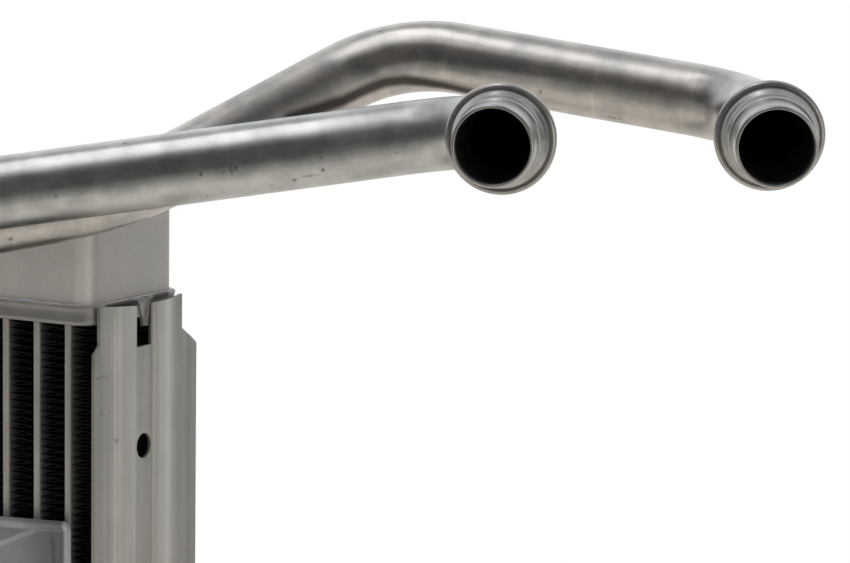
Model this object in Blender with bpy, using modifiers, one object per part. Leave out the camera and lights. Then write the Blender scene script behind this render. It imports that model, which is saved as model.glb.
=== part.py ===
"""Brazed aluminium heater core with two formed pipes.

Axes: X runs across the core with +X to the right, the front faces -Y and +Z is up.
The origin is the centre of the bottom tank's underside. All sizes are in metres.
"""

from math import atan2, ceil, cos, degrees, pi, radians, sin, tan

import bmesh
import bpy
from mathutils import Vector

MM = 0.001

# Clearance left between two brazed pieces, so that they touch but don't overlap.
FIT = 0.3 * MM

# Flat tubes and fins.
TUBE_COUNT = 16
TUBE_THICK = 1.8 * MM
TUBE_DEPTH = 33.2 * MM
TUBE_WALL = 0.4 * MM
TUBE_REACH = 1.5 * MM
FIN_HEIGHT = 6.34 * MM
END_FIN_HEIGHT = 7.6 * MM
FIN_SETBACK = 0.6 * MM
FIN_SHEET = 0.4 * MM
FIN_WAVES = 12
CORE_HEIGHT = 165.0 * MM

# Side plates, pressed from sheet: two ridges beside a groove. Depths are measured from the groove's middle.
PLATE_SHEET = 0.8 * MM
PLATE_FRONT = 19.8 * MM
PLATE_REAR = 23.1 * MM
PLATE_SHIFT = 0.6 * MM
PLATE_EDGE = 3.0 * MM
PLATE_EDGE_DROP = 0.35 * MM
GROOVE_HALF = 3.1 * MM
RIDGE_WIDTH = 7.2 * MM
RIDGE_SLOPE = 1.3 * MM
RIDGE_RISE = 0.6 * MM
PLATE_LAP = 4.4 * MM
PLATE_DIP = 1.2 * MM
NOTCH_LENGTH = 8.8 * MM
FRONT_NOTCH = 1.9 * MM
FRONT_CHAMFER = 2.0 * MM
REAR_NOTCH = 6.9 * MM
REAR_CHAMFER = 4.4 * MM
SLOT_WIDTH = 6.0 * MM
SLOT_DEPTH = 6.6 * MM
HOLE_DIAMETER = 5.9 * MM
HOLE_FROM_HEADER = 30.2 * MM

# Headers: trays that hold the tube ends, with a lip around the tank.
HEADER_SHEET = 1.6 * MM
LIP_HEIGHT = 4.6 * MM
LIP_SHEET = 1.2 * MM
TAB_POINT = 1.8 * MM
TAB_DROP = 2.0 * MM

# Tanks. TANK_ROOM is left between the tubes and the inside of a tank's front and rear walls.
# However thick the wall, the inside keeps the least radius at its edges and corners.
TANK_ROOM = 0.5 * MM
TANK_WALL = 1.2 * MM
TANK_CORNER = 4.5 * MM
TANK_EDGE = 2.5 * MM
LEAST_EDGE = 1.0 * MM
LEAST_CORNER = 0.8 * MM
TOP_TANK_HEIGHT = 30.0 * MM
BOTTOM_TANK_HEIGHT = 26.0 * MM
BAFFLE_SHEET = 1.5 * MM

# Pipes. Corner points are measured from the front top corner of the right side plate:
# its outer face, its front edge and the underside of the top header.
PIPE_OD = 16.0 * MM
PIPE_WALL = 1.0 * MM
PIPE_INSERT = 2.0 * MM
STOP_RISE = 1.3 * MM
STOP_LENGTH = 2.6 * MM
STOP_SLOPE = 0.2 * MM
FRONT_PIPE_X = -118.0 * MM
FRONT_PIPE_LANE = -45.2 * MM
FRONT_PIPE_REACH = 96.1 * MM
FRONT_PIPE_CORNERS = (
    Vector((-24.6 * MM, FRONT_PIPE_LANE, 30.2 * MM)),
    Vector((FRONT_PIPE_REACH, 22.0 * MM, 50.9 * MM)),
)
FRONT_PIPE_RADII = (22.0 * MM, 30.0 * MM, 22.0 * MM)
FRONT_PIPE_AIM = (20.0, -1.5)
FRONT_PIPE_TAIL = 29.0 * MM
REAR_PIPE_X = -58.0 * MM
REAR_PIPE_LANE = -27.2 * MM
REAR_PIPE_REACH = 137.9 * MM
REAR_PIPE_CORNERS = (
    Vector((-24.6 * MM, REAR_PIPE_LANE, 24.0 * MM)),
    Vector((9.8 * MM, -4.3 * MM, 31.1 * MM)),
    Vector((55.8 * MM, 39.7 * MM, 64.3 * MM)),
    Vector((REAR_PIPE_REACH, 52.9 * MM, 53.9 * MM)),
)
REAR_PIPE_RADII = (22.0 * MM, 30.0 * MM, 108.0 * MM, 33.0 * MM, 22.0 * MM)
REAR_PIPE_AIM = (30.3, -5.0)
REAR_PIPE_TAIL = 31.0 * MM

# Formed pipe end: a thin pilot, a wider seat, a groove and the bead that stops the clamp.
PILOT_OD = 17.6 * MM
PILOT_WALL = 0.95 * MM
PILOT_LENGTH = 6.8 * MM
SEAT_OD = 18.8 * MM
SEAT_LENGTH = 3.6 * MM
NECK_OD = 21.0 * MM
NECK_LENGTH = 1.8 * MM
NECK_STEP = 0.1 * MM
BEAD_OD = 23.7 * MM
BEAD_LENGTH = 2.6 * MM
EDGE_ROUND = 0.4 * MM

# Shares of the bead's length at which its back is formed, and its crest starts and ends.
BEAD_BACK, BEAD_CREST, BEAD_CREST_END = 0.15, 0.4, 0.75

# Pressed bracket on the front of the core, over the first tubes at the right.
BRACKET_WIDTH = 62.0 * MM
BRACKET_TALL = 60.0 * MM
BRACKET_SHEET = 2.6 * MM
BRACKET_FROM_PLATE = 6.85 * MM
BRACKET_FROM_HEADER = 46.6 * MM
BRACKET_RIM = 1.7 * MM
BRACKET_CORNER = 2.4 * MM
PANEL_DEPTH = 0.7 * MM
FACET_DEPTH = 1.4 * MM
FACET_SLOPE = 20.0

# How far a cutter stands out past the piece that it cuts.
CUT_OVER = 5.0 * MM

# Colour and roughness of each kind of piece.
TUBE_FINISH = ((0.42, 0.42, 0.39), 0.42)
FIN_FINISH = ((0.10, 0.10, 0.10), 0.5)
HEADER_FINISH = ((0.40, 0.39, 0.37), 0.40)
TANK_FINISH = ((0.44, 0.43, 0.41), 0.38)
PLATE_FINISH = ((0.50, 0.49, 0.46), 0.38)
FRONT_PIPE_FINISH = ((0.56, 0.56, 0.55), 0.28)
REAR_PIPE_FINISH = ((0.55, 0.53, 0.50), 0.30)
BRACKET_FINISH = ((0.46, 0.47, 0.48), 0.35)

# Facets.
CORNER_STEPS = 3
EDGE_STEPS = 3
TUBE_STEPS = 2
PIPE_SIDES = 16
BEND_STEP = 18.0
HOLE_SIDES = 12

# Worked out from the sizes above.
TUBE_PITCH = TUBE_THICK + FIN_HEIGHT + 2 * FIT
HALF_WIDTH = (TUBE_COUNT - 1) / 2 * TUBE_PITCH + TUBE_THICK / 2 + END_FIN_HEIGHT + 2 * FIT + PLATE_SHEET
HEADER_X = 2 * (HALF_WIDTH - PLATE_SHEET - FIT)
TANK_DEPTH = TUBE_DEPTH + 2 * (TANK_ROOM + TANK_WALL)
HEADER_Y = TANK_DEPTH + 2 * (FIT + LIP_SHEET)
TANK_X = HEADER_X - 2 * (FIT + LIP_SHEET)
LOWER_FACE = BOTTOM_TANK_HEIGHT
UPPER_FACE = BOTTOM_TANK_HEIGHT + CORE_HEIGHT
DATUM = Vector((HALF_WIDTH, PLATE_SHIFT - PLATE_FRONT, UPPER_FACE))
PIPE_PORT_Z = UPPER_FACE + (HEADER_SHEET + FIT + TOP_TANK_HEIGHT) / 2
TANK_FRONT = -TANK_DEPTH / 2


def clear_scene():
    for ob in list(bpy.data.objects):
        bpy.data.objects.remove(ob, do_unlink=True)


def new_collection(name):
    collection = bpy.data.collections.new(name)
    bpy.context.scene.collection.children.link(collection)
    return collection


def metal(name, colour, roughness):
    material = bpy.data.materials.new(name)
    material.use_nodes = True
    shader = material.node_tree.nodes["Principled BSDF"]
    shader.inputs["Base Color"].default_value = (*colour, 1.0)
    shader.inputs["Roughness"].default_value = roughness
    shader.inputs["Metallic"].default_value = 1.0
    return material


def mesh_object(name, points, faces, collection):
    """A closed solid from points and faces, with its normals turned outwards."""
    mesh = bpy.data.meshes.new(name)
    mesh.from_pydata([tuple(p) for p in points], [], faces)
    bm = bmesh.new()
    bm.from_mesh(mesh)
    bmesh.ops.recalc_face_normals(bm, faces=bm.faces)
    if bm.calc_volume(signed=True) < 0:
        bmesh.ops.reverse_faces(bm, faces=bm.faces)
    bm.to_mesh(mesh)
    bm.free()
    ob = bpy.data.objects.new(name, mesh)
    collection.objects.link(ob)
    return ob


def loft(name, rings, collection, closed=False):
    """A solid through rings of equal count. A closed loft joins its last ring to its first."""
    count = len(rings[0])
    points = [p for ring in rings for p in ring]
    faces = []
    spans = len(rings) if closed else len(rings) - 1
    for r in range(spans):
        low = r * count
        high = (r + 1) % len(rings) * count
        for i in range(count):
            j = (i + 1) % count
            faces.append((low + i, low + j, high + j, high + i))
    if not closed:
        faces.append(tuple(range(count)))
        faces.append(tuple(range(len(points) - count, len(points))))
    return mesh_object(name, points, faces, collection)


def rounded_outline(width, depth, corner, steps):
    """Points of a rectangle with rounded corners, centred on the origin.

    Where two corners meet in a half round end, their shared point is given once.
    """
    points = []
    shared = 1 if 2 * corner > width - 0.001 * MM else 0
    for quarter, (sx, sy) in enumerate(((1, 1), (-1, 1), (-1, -1), (1, -1))):
        cx = sx * (width / 2 - corner)
        cy = sy * (depth / 2 - corner)
        first = shared * (quarter % 2)
        for step in range(first, steps + 1):
            angle = (quarter + step / steps) * pi / 2
            points.append((cx + corner * cos(angle), cy + corner * sin(angle)))
    return points


def prism(name, outline, place, near, far, collection):
    """A solid with a flat outline, drawn out from near to far along its third axis."""
    rings = [[place(a, b, c) for a, b in outline] for c in (near, far)]
    return loft(name, rings, collection)


def along_x(a, b, c):
    return Vector((c, a, b))


def along_y(a, b, c):
    return Vector((a, c, b))


def along_z(a, b, c):
    return Vector((a, b, c))


def merged(name, pieces, collection):
    """One object that holds the separate solids of several pieces."""
    bm = bmesh.new()
    for piece in pieces:
        bm.from_mesh(piece.data)
    mesh = bpy.data.meshes.new(name)
    bm.to_mesh(mesh)
    bm.free()
    for piece in pieces:
        bpy.data.objects.remove(piece, do_unlink=True)
    ob = bpy.data.objects.new(name, mesh)
    collection.objects.link(ob)
    ob.hide_render = True
    ob.display_type = "WIRE"
    return ob


def combine(ob, tool, operation):
    boolean = ob.modifiers.new(tool.name, "BOOLEAN")
    boolean.operation = operation
    boolean.solver = "EXACT"
    boolean.object = tool


def tube_x(index):
    return (index - (TUBE_COUNT - 1) / 2) * TUBE_PITCH


def flat_tube(name, index, collection):
    """A hollow tube with round noses, reaching through both headers."""
    low = LOWER_FACE - HEADER_SHEET - TUBE_REACH
    high = UPPER_FACE + HEADER_SHEET + TUBE_REACH
    outer = rounded_outline(TUBE_THICK, TUBE_DEPTH, TUBE_THICK / 2, TUBE_STEPS)
    inner = rounded_outline(TUBE_THICK - 2 * TUBE_WALL, TUBE_DEPTH - 2 * TUBE_WALL,
                            TUBE_THICK / 2 - TUBE_WALL, TUBE_STEPS)
    rings = []
    for outline, z in ((outer, low), (outer, high), (inner, high), (inner, low)):
        rings.append([Vector((x + tube_x(index), y, z)) for x, y in outline])
    return loft(name, rings, collection, closed=True)


def fin_strip(name, index, collection):
    """A folded strip between two tubes: its crests stand one clearance off each tube."""
    left = tube_x(index - 1) + TUBE_THICK / 2 + FIT
    right = tube_x(index) - TUBE_THICK / 2 - FIT
    if index == 0:
        left = right - END_FIN_HEIGHT
    if index == TUBE_COUNT:
        right = left + END_FIN_HEIGHT
    half_depth = TUBE_DEPTH / 2 - FIN_SETBACK
    low = LOWER_FACE + FIT
    high = UPPER_FACE - FIT
    folds = 2 * FIN_WAVES
    slope = atan2((high - low) / folds, right - left)
    half_sheet = FIN_SHEET / sin(slope) / 2
    rings = []
    for fold in range(folds + 1):
        x = right - half_sheet if fold % 2 else left + half_sheet
        z = low + (high - low) * fold / folds
        rings.append([Vector((x + dx * half_sheet, y, z))
                      for y, dx in ((-half_depth, -1), (half_depth, -1), (half_depth, 1), (-half_depth, 1))])
    return loft(name, rings, collection)


def tray(name, face, away, collection):
    """A header: a floor on the core and a lip towards the tank. away is 1 above the core, -1 below."""
    wide = rounded_outline(HEADER_X, HEADER_Y, TANK_CORNER + FIT + LIP_SHEET, CORNER_STEPS)
    narrow = rounded_outline(HEADER_X - 2 * LIP_SHEET, HEADER_Y - 2 * LIP_SHEET,
                             TANK_CORNER + FIT, CORNER_STEPS)
    levels = ((wide, 0), (wide, LIP_HEIGHT), (narrow, LIP_HEIGHT), (narrow, HEADER_SHEET))
    rings = [[Vector((x, y, face + away * z)) for x, y in outline] for outline, z in levels]
    return loft(name, rings, collection)


def header_slots(name, face, tools):
    """Cutters for the tube slots of one header."""
    outline = rounded_outline(TUBE_THICK + 2 * FIT, TUBE_DEPTH + 2 * FIT, TUBE_THICK / 2 + FIT, TUBE_STEPS)
    pieces = []
    for index in range(TUBE_COUNT):
        shifted = [(x + tube_x(index), y) for x, y in outline]
        pieces.append(prism("slot", shifted, along_z, face - 2 * HEADER_SHEET, face + 2 * HEADER_SHEET, tools))
    return merged(name, pieces, tools)


def header_tabs(name, face, away, tools):
    """The two pointed tabs of a header that lie in the slots of the side plates."""
    half = SLOT_WIDTH / 2 - FIT
    tip = face - away * TAB_DROP
    outline = [(-half, face + away * PLATE_LAP), (half, face + away * PLATE_LAP), (half, face),
               (TAB_POINT / 2, tip), (-TAB_POINT / 2, tip), (-half, face)]
    outline = [(y + PLATE_SHIFT, z) for y, z in outline]
    inner = HALF_WIDTH - PLATE_SHEET
    pieces = [prism("tab", outline, along_x, side * inner, side * HALF_WIDTH, tools) for side in (-1, 1)]
    return merged(name, pieces, tools)


def tab_roots(name, face, away, tools):
    """The bridges from the header's lip to its tabs."""
    half = SLOT_WIDTH / 2 - 2 * FIT
    low, high = sorted((face + away * FIT, face + away * (PLATE_LAP - FIT)))
    outline = [(-half, low), (half, low), (half, high), (-half, high)]
    outline = [(y + PLATE_SHIFT, z) for y, z in outline]
    inner = HEADER_X / 2 - LIP_SHEET / 2
    outer = HALF_WIDTH - PLATE_SHEET / 2
    pieces = [prism("root", outline, along_x, side * inner, side * outer, tools) for side in (-1, 1)]
    return merged(name, pieces, tools)


def tank(name, face, away, height, collection):
    """A drawn tank, open to its header. away is 1 above the core, -1 below."""
    outer, inner = [], []
    for step in range(EDGE_STEPS + 1):
        angle = step / EDGE_STEPS * pi / 2
        for levels, wall in ((outer, 0.0), (inner, TANK_WALL)):
            edge = max(TANK_EDGE - wall, LEAST_EDGE)
            inset = edge * (1 - cos(angle)) + wall
            z = height - wall - edge * (1 - sin(angle))
            levels.append((inset, z))
    open_end = HEADER_SHEET + FIT
    levels = [(0.0, open_end)] + outer
    hollow = [(TANK_WALL, open_end)] + inner
    rings = []
    for inset, z in levels[::-1] + hollow:
        corner = max(TANK_CORNER - inset, LEAST_CORNER)
        outline = rounded_outline(TANK_X - 2 * inset, TANK_DEPTH - 2 * inset, corner, CORNER_STEPS)
        rings.append([Vector((x, y, face + away * z)) for x, y in outline])
    return loft(name, rings, collection)


def port_cutters(name, tools):
    """Cutters for the two pipe holes in the top tank's front wall."""
    radius = PIPE_OD / 2 + FIT
    pieces = []
    for port in (FRONT_PIPE_X, REAR_PIPE_X):
        outline = [(DATUM.x + port + radius * cos(2 * pi * i / PIPE_SIDES),
                    PIPE_PORT_Z + radius * sin(2 * pi * i / PIPE_SIDES)) for i in range(PIPE_SIDES)]
        pieces.append(prism("port", outline, along_y, TANK_FRONT - CUT_OVER, TANK_FRONT + 2 * TANK_WALL, tools))
    return merged(name, pieces, tools)


def baffle(name, collection):
    """The wall inside the top tank that parts inlet from outlet, midway between two tubes."""
    inset = TANK_WALL + FIT
    low = UPPER_FACE + HEADER_SHEET + FIT
    high = UPPER_FACE + TOP_TANK_HEIGHT - inset
    edge = TANK_EDGE
    half = TANK_DEPTH / 2 - inset
    outline = [(-half, low), (half, low), (half, high - edge), (half - edge, high),
               (edge - half, high), (-half, high - edge)]
    return prism(name, outline, along_x, -BAFFLE_SHEET / 2, BAFFLE_SHEET / 2, collection)


def half_profile(reach, level_to):
    """Half of a side plate's section: distance from the groove's middle, rise, and dip of its ends.

    The ends dip fully from the middle as far as level_to, and less from there to the edge strip.
    """
    top = GROOVE_HALF + RIDGE_SLOPE
    ridge_end = top + RIDGE_WIDTH + RIDGE_SLOPE
    strip = reach - PLATE_EDGE
    section = [(GROOVE_HALF, 0.0), (top, RIDGE_RISE), (ridge_end - RIDGE_SLOPE, RIDGE_RISE),
               (ridge_end, 0.0), (strip, 0.0), (reach, -PLATE_EDGE_DROP)]
    points = []
    for away, rise in section:
        share = (strip - away) / (strip - level_to)
        points.append((away, rise, PLATE_DIP * min(1.0, max(0.0, share))))
    return points


def side_plate(name, side, collection):
    """A pressed sheet over the last fin, with two ridges and edges that lean inwards."""
    front = half_profile(PLATE_FRONT, GROOVE_HALF)
    rear = half_profile(PLATE_REAR, GROOVE_HALF + RIDGE_SLOPE + RIDGE_WIDTH)
    profile = [(PLATE_SHIFT - away, rise, dip) for away, rise, dip in front[::-1]]
    profile += [(PLATE_SHIFT + away, rise, dip) for away, rise, dip in rear]
    points, faces = [], []
    for end, away in ((LOWER_FACE, -1), (UPPER_FACE, 1)):
        points += [(side * (HALF_WIDTH + rise), y, end + away * (PLATE_LAP - dip)) for y, rise, dip in profile]
    count = len(profile)
    for i in range(count - 1):
        face = (i, i + 1, count + i + 1, count + i)
        faces.append(face if side > 0 else face[::-1])
    mesh = bpy.data.meshes.new(name)
    mesh.from_pydata(points, [], faces)
    ob = bpy.data.objects.new(name, mesh)
    collection.objects.link(ob)
    solid = ob.modifiers.new("sheet", "SOLIDIFY")
    solid.thickness = PLATE_SHEET
    solid.offset = -1.0
    solid.use_even_offset = True
    return ob


def plate_cutters(name, tools):
    """Cutters through both side plates: corner notches, end slots and fixing holes."""
    inside = HALF_WIDTH - PLATE_SHEET - CUT_OVER
    outside = HALF_WIDTH + RIDGE_RISE + CUT_OVER
    half_slot = SLOT_WIDTH / 2
    hole = HOLE_DIAMETER / 2
    shapes = []
    for end, away in ((UPPER_FACE, 1), (LOWER_FACE, -1)):
        tip = end + away * (PLATE_LAP + CUT_OVER)
        foot = end + away * (PLATE_LAP - NOTCH_LENGTH)
        for edge, inward, notch, chamfer in ((-PLATE_FRONT, 1, FRONT_NOTCH, FRONT_CHAMFER),
                                             (PLATE_REAR, -1, REAR_NOTCH, REAR_CHAMFER)):
            inner = edge + inward * notch
            outer = edge - inward * CUT_OVER
            shoulder = foot - away * chamfer
            shapes.append([(outer, tip), (inner, tip), (inner, foot), (edge, shoulder), (outer, shoulder)])
        bottom = end - away * SLOT_DEPTH
        shapes.append([(-half_slot, tip), (half_slot, tip), (half_slot, bottom), (-half_slot, bottom)])
        centre = end - away * HOLE_FROM_HEADER
        angles = [2 * pi * i / HOLE_SIDES for i in range(HOLE_SIDES)]
        shapes.append([(hole * cos(a), centre + hole * sin(a)) for a in angles])
    pieces = []
    for shape in shapes:
        shifted = [(y + PLATE_SHIFT, z) for y, z in shape]
        for side in (-1, 1):
            pieces.append(prism("cut", shifted, along_x, side * inside, side * outside, tools))
    return merged(name, pieces, tools)


def aim(angles):
    """The way that a pipe end points: turned to the right of -Y, and raised."""
    turn, rise = (radians(a) for a in angles)
    return Vector((sin(turn) * cos(rise), -cos(turn) * cos(rise), sin(rise)))


def bent_path(corners, radii):
    """Centreline points, straight between bends, with each bend as an arc of its radius."""
    path = [corners[0]]
    for before, corner, after, radius in zip(corners, corners[1:], corners[2:], radii):
        back = (before - corner).normalized()
        ahead = (after - corner).normalized()
        half = back.angle(ahead) / 2
        trim = radius / tan(half)
        centre = corner + (back + ahead).normalized() * radius / sin(half)
        start = corner + back * trim - centre
        end = corner + ahead * trim - centre
        steps = ceil(degrees(pi - 2 * half) / BEND_STEP)
        sweep = start.angle(end)
        for step in range(steps + 1):
            part = step / steps
            arm = (start * sin((1 - part) * sweep) + end * sin(part * sweep)) / sin(sweep)
            path.append(centre + arm)
    path.append(corners[-1])
    return path


def end_profile():
    """Stations of the formed end: distance past the bead's back, outer and inner radius."""
    pipe = PIPE_OD / 2
    bore = pipe - PIPE_WALL
    pilot_bore = PILOT_OD / 2 - PILOT_WALL
    bead = BEAD_OD / 2
    neck = NECK_OD / 2
    bead_end = BEAD_LENGTH
    neck_end = bead_end + NECK_LENGTH
    seat_end = neck_end + SEAT_LENGTH
    mouth = seat_end + PILOT_LENGTH
    return [
        (0.0, pipe, bore),
        (BEAD_BACK * BEAD_LENGTH, bead - 2 * EDGE_ROUND, bore),
        (BEAD_CREST * BEAD_LENGTH, bead, bore),
        (BEAD_CREST_END * BEAD_LENGTH, bead, bore),
        (bead_end, bead - 1.5 * EDGE_ROUND, (bore + pilot_bore) / 2),
        (bead_end + NECK_STEP, neck, (bore + pilot_bore) / 2),
        (neck_end, SEAT_OD / 2, pilot_bore),
        (seat_end, SEAT_OD / 2, pilot_bore),
        (seat_end + EDGE_ROUND, PILOT_OD / 2, pilot_bore),
        (mouth - EDGE_ROUND, PILOT_OD / 2, pilot_bore),
        (mouth, PILOT_OD / 2 - EDGE_ROUND, pilot_bore + 0.2 * EDGE_ROUND),
    ]


def ring(centre, side, up, radius):
    return [centre + radius * (cos(2 * pi * i / PIPE_SIDES) * side + sin(2 * pi * i / PIPE_SIDES) * up)
            for i in range(PIPE_SIDES)]


def pipe(name, port_x, lane, corners, radii, angles, tail, collection):
    """A bent pipe from a port in the tank's front wall to its formed end."""
    port = Vector((DATUM.x + port_x, TANK_FRONT, PIPE_PORT_Z))
    inside = port + Vector((0, TANK_WALL + PIPE_INSERT, 0))
    turn = Vector((port.x, DATUM.y + lane, port.z))
    ahead = aim(angles)
    route = [DATUM + corner for corner in corners]
    bead = route[-1] + ahead * (tail - BEAD_LENGTH / 2)
    path = bent_path([inside, turn, *route, bead], radii)

    outer, bore = PIPE_OD / 2, PIPE_OD / 2 - PIPE_WALL
    start = [(inside, outer, bore)]
    face = TANK_FRONT - FIT
    stop = outer + STOP_RISE
    crest_end = STOP_LENGTH - 2 * STOP_SLOPE
    for drop, radius in ((0.0, outer), (STOP_SLOPE, stop), (crest_end, stop), (STOP_LENGTH, outer)):
        start.append((Vector((port.x, face - drop, port.z)), radius, bore))
    stations = start + [(p, outer, bore) for p in path[1:-1]]
    stations += [(bead + ahead * along, wide, narrow) for along, wide, narrow in end_profile()]

    side = Vector((1, 0, 0))
    outside, inner = [], []
    for i, (centre, wide, narrow) in enumerate(stations):
        before = stations[max(i - 1, 0)][0]
        after = stations[min(i + 1, len(stations) - 1)][0]
        arriving = (centre - before).normalized()
        leaving = (after - centre).normalized()
        way = (arriving + leaving).normalized()
        side = (side - way * side.dot(way)).normalized()
        up = way.cross(side)
        outside.append(ring(centre, side, up, wide))
        inner.append(ring(centre, side, up, narrow))
    return loft(name, outside + inner[::-1], collection, closed=True)


def bracket(name, collection, tools):
    """A pressed plate on the tube noses: a rim around two panels that meet at a slanted crease."""
    back = -TUBE_DEPTH / 2 - FIT
    front = back - BRACKET_SHEET
    right = HALF_WIDTH - BRACKET_FROM_PLATE
    top = UPPER_FACE - BRACKET_FROM_HEADER
    centre_x = right - BRACKET_WIDTH / 2
    centre_z = top - BRACKET_TALL / 2
    outline = rounded_outline(BRACKET_WIDTH, BRACKET_TALL, BRACKET_CORNER, CORNER_STEPS)
    ob = prism(name, [(centre_x + a, centre_z + b) for a, b in outline], along_y, back, front, collection)

    left_in, right_in = centre_x - BRACKET_WIDTH / 2 + BRACKET_RIM, right - BRACKET_RIM
    low_in, top_in = top - BRACKET_TALL + BRACKET_RIM, top - BRACKET_RIM
    crease = top_in - (right_in - left_in) * tan(radians(FACET_SLOPE))
    panel = [(left_in, low_in), (right_in, low_in), (right_in, top_in), (left_in, top_in)]
    facet = [(left_in, crease), (right_in, top_in), (left_in, top_in)]
    for tool_name, shape, depth in (("panel_tool", panel, PANEL_DEPTH), ("facet_tool", facet, FACET_DEPTH)):
        pocket = prism("pocket", shape, along_y, front - CUT_OVER, front + depth, tools)
        cutter = merged(tool_name, [pocket], tools)
        combine(ob, cutter, "DIFFERENCE")
    return ob


def build():
    clear_scene()
    core = new_collection("heater_core")
    tools = new_collection("heater_core_tools")
    finish = {}

    for index in range(TUBE_COUNT):
        name = f"flat_tube_{index + 1:02d}"
        finish[name] = (flat_tube(name, index, core), TUBE_FINISH)
    for index in range(TUBE_COUNT + 1):
        name = f"fin_strip_{index + 1:02d}"
        finish[name] = (fin_strip(name, index, core), FIN_FINISH)

    for name, face, away in (("top_header", UPPER_FACE, 1), ("bottom_header", LOWER_FACE, -1)):
        ob = tray(name, face, away, core)
        combine(ob, header_slots(name + "_slots", face, tools), "DIFFERENCE")
        combine(ob, tab_roots(name + "_roots", face, away, tools), "UNION")
        combine(ob, header_tabs(name + "_tabs", face, away, tools), "UNION")
        finish[name] = (ob, HEADER_FINISH)

    top = tank("top_tank", UPPER_FACE, 1, TOP_TANK_HEIGHT, core)
    combine(top, port_cutters("port_tool", tools), "DIFFERENCE")
    finish["top_tank"] = (top, TANK_FINISH)
    finish["bottom_tank"] = (tank("bottom_tank", LOWER_FACE, -1, BOTTOM_TANK_HEIGHT, core), TANK_FINISH)
    finish["tank_baffle"] = (baffle("tank_baffle", core), TANK_FINISH)

    cutters = plate_cutters("side_plate_tool", tools)
    for name, side in (("side_plate_right", 1), ("side_plate_left", -1)):
        ob = side_plate(name, side, core)
        combine(ob, cutters, "DIFFERENCE")
        finish[name] = (ob, PLATE_FINISH)

    front = pipe("front_pipe", FRONT_PIPE_X, FRONT_PIPE_LANE, FRONT_PIPE_CORNERS,
                 FRONT_PIPE_RADII, FRONT_PIPE_AIM, FRONT_PIPE_TAIL, core)
    rear = pipe("rear_pipe", REAR_PIPE_X, REAR_PIPE_LANE, REAR_PIPE_CORNERS,
                REAR_PIPE_RADII, REAR_PIPE_AIM, REAR_PIPE_TAIL, core)
    finish["front_pipe"] = (front, FRONT_PIPE_FINISH)
    finish["rear_pipe"] = (rear, REAR_PIPE_FINISH)
    finish["front_bracket"] = (bracket("front_bracket", core, tools), BRACKET_FINISH)

    for name, (ob, (colour, roughness)) in finish.items():
        ob.data.materials.append(metal(name, colour, roughness))


build()
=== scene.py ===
from math import asin, ceil, cos, degrees, pi, radians, sin, sqrt, tan

import bmesh
import bpy
from mathutils import Matrix, Vector, noise


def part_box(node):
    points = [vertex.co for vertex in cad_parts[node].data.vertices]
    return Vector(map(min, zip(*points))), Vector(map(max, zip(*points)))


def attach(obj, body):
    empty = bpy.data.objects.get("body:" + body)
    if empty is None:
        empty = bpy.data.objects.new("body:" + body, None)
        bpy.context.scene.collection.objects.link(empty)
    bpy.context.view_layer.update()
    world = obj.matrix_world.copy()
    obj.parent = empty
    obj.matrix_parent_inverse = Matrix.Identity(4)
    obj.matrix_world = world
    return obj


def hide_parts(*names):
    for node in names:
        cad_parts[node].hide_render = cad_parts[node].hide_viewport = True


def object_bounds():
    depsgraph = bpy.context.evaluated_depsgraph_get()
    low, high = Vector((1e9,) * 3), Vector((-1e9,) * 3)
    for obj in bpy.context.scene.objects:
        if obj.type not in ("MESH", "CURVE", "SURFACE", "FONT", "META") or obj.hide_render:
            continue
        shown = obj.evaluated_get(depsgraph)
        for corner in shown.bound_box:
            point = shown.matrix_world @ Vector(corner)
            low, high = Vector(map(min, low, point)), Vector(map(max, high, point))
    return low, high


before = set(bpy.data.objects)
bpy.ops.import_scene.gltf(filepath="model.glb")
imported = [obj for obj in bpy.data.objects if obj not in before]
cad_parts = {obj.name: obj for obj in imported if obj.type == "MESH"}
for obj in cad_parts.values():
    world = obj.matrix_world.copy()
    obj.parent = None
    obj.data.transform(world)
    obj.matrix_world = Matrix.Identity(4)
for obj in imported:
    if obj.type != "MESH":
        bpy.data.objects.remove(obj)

MM = 0.001
BODY = "root"
CAD_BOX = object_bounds()

# Camera: the photograph's view, with the picture taken as 850 x 563.
PICTURE = (850.0, 563.0)
SENSOR = 36.0
FOCAL_PIXELS = 3500.0
CAMERA_TURN = 28.92
CAMERA_RISE = 7.93
CAMERA_ROLL = 0.85
CAMERA_FROM_DATUM = Vector((446.3, -653.2, 121.6)) * MM

# Sizes of the pieces, as in the solids.
FIT = 0.3 * MM
PLATE_SHEET = 0.8 * MM
PLATE_EDGE = 3.0 * MM
PLATE_EDGE_DROP = 0.35 * MM
PLATE_FRONT = 19.8 * MM
GROOVE_HALF = 3.1 * MM
RIDGE_SPAN = 9.8 * MM
RIDGE_SLOPE = 1.3 * MM
RIDGE_FADE = 5.5 * MM
RIDGE_RISE = 0.6 * MM
RIDGE_CROWN = 0.12 * MM
PLATE_LAP = 4.4 * MM
PLATE_DIP = 1.2 * MM
NOTCH_LENGTH = 8.8 * MM
FRONT_NOTCH = 1.9 * MM
FRONT_CHAMFER = 2.0 * MM
REAR_NOTCH = 6.9 * MM
REAR_CHAMFER = 4.4 * MM
SLOT_WIDTH = 6.0 * MM
SLOT_DEPTH = 6.6 * MM
PLATE_ROUND = 0.14 * MM
HOLE_RADIUS = 2.95 * MM
HOLE_FROM_HEADER = 30.2 * MM
HEADER_SHEET = 1.6 * MM
LIP_HEIGHT = 4.6 * MM
LIP_SHEET = 1.2 * MM
TAB_DROP = 2.0 * MM
TAB_POINT = 1.8 * MM
TAB_VALLEY = 0.8 * MM
TAB_SHIFT = 0.6 * MM
TAB_REAR_VALLEY = 0.3
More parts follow.
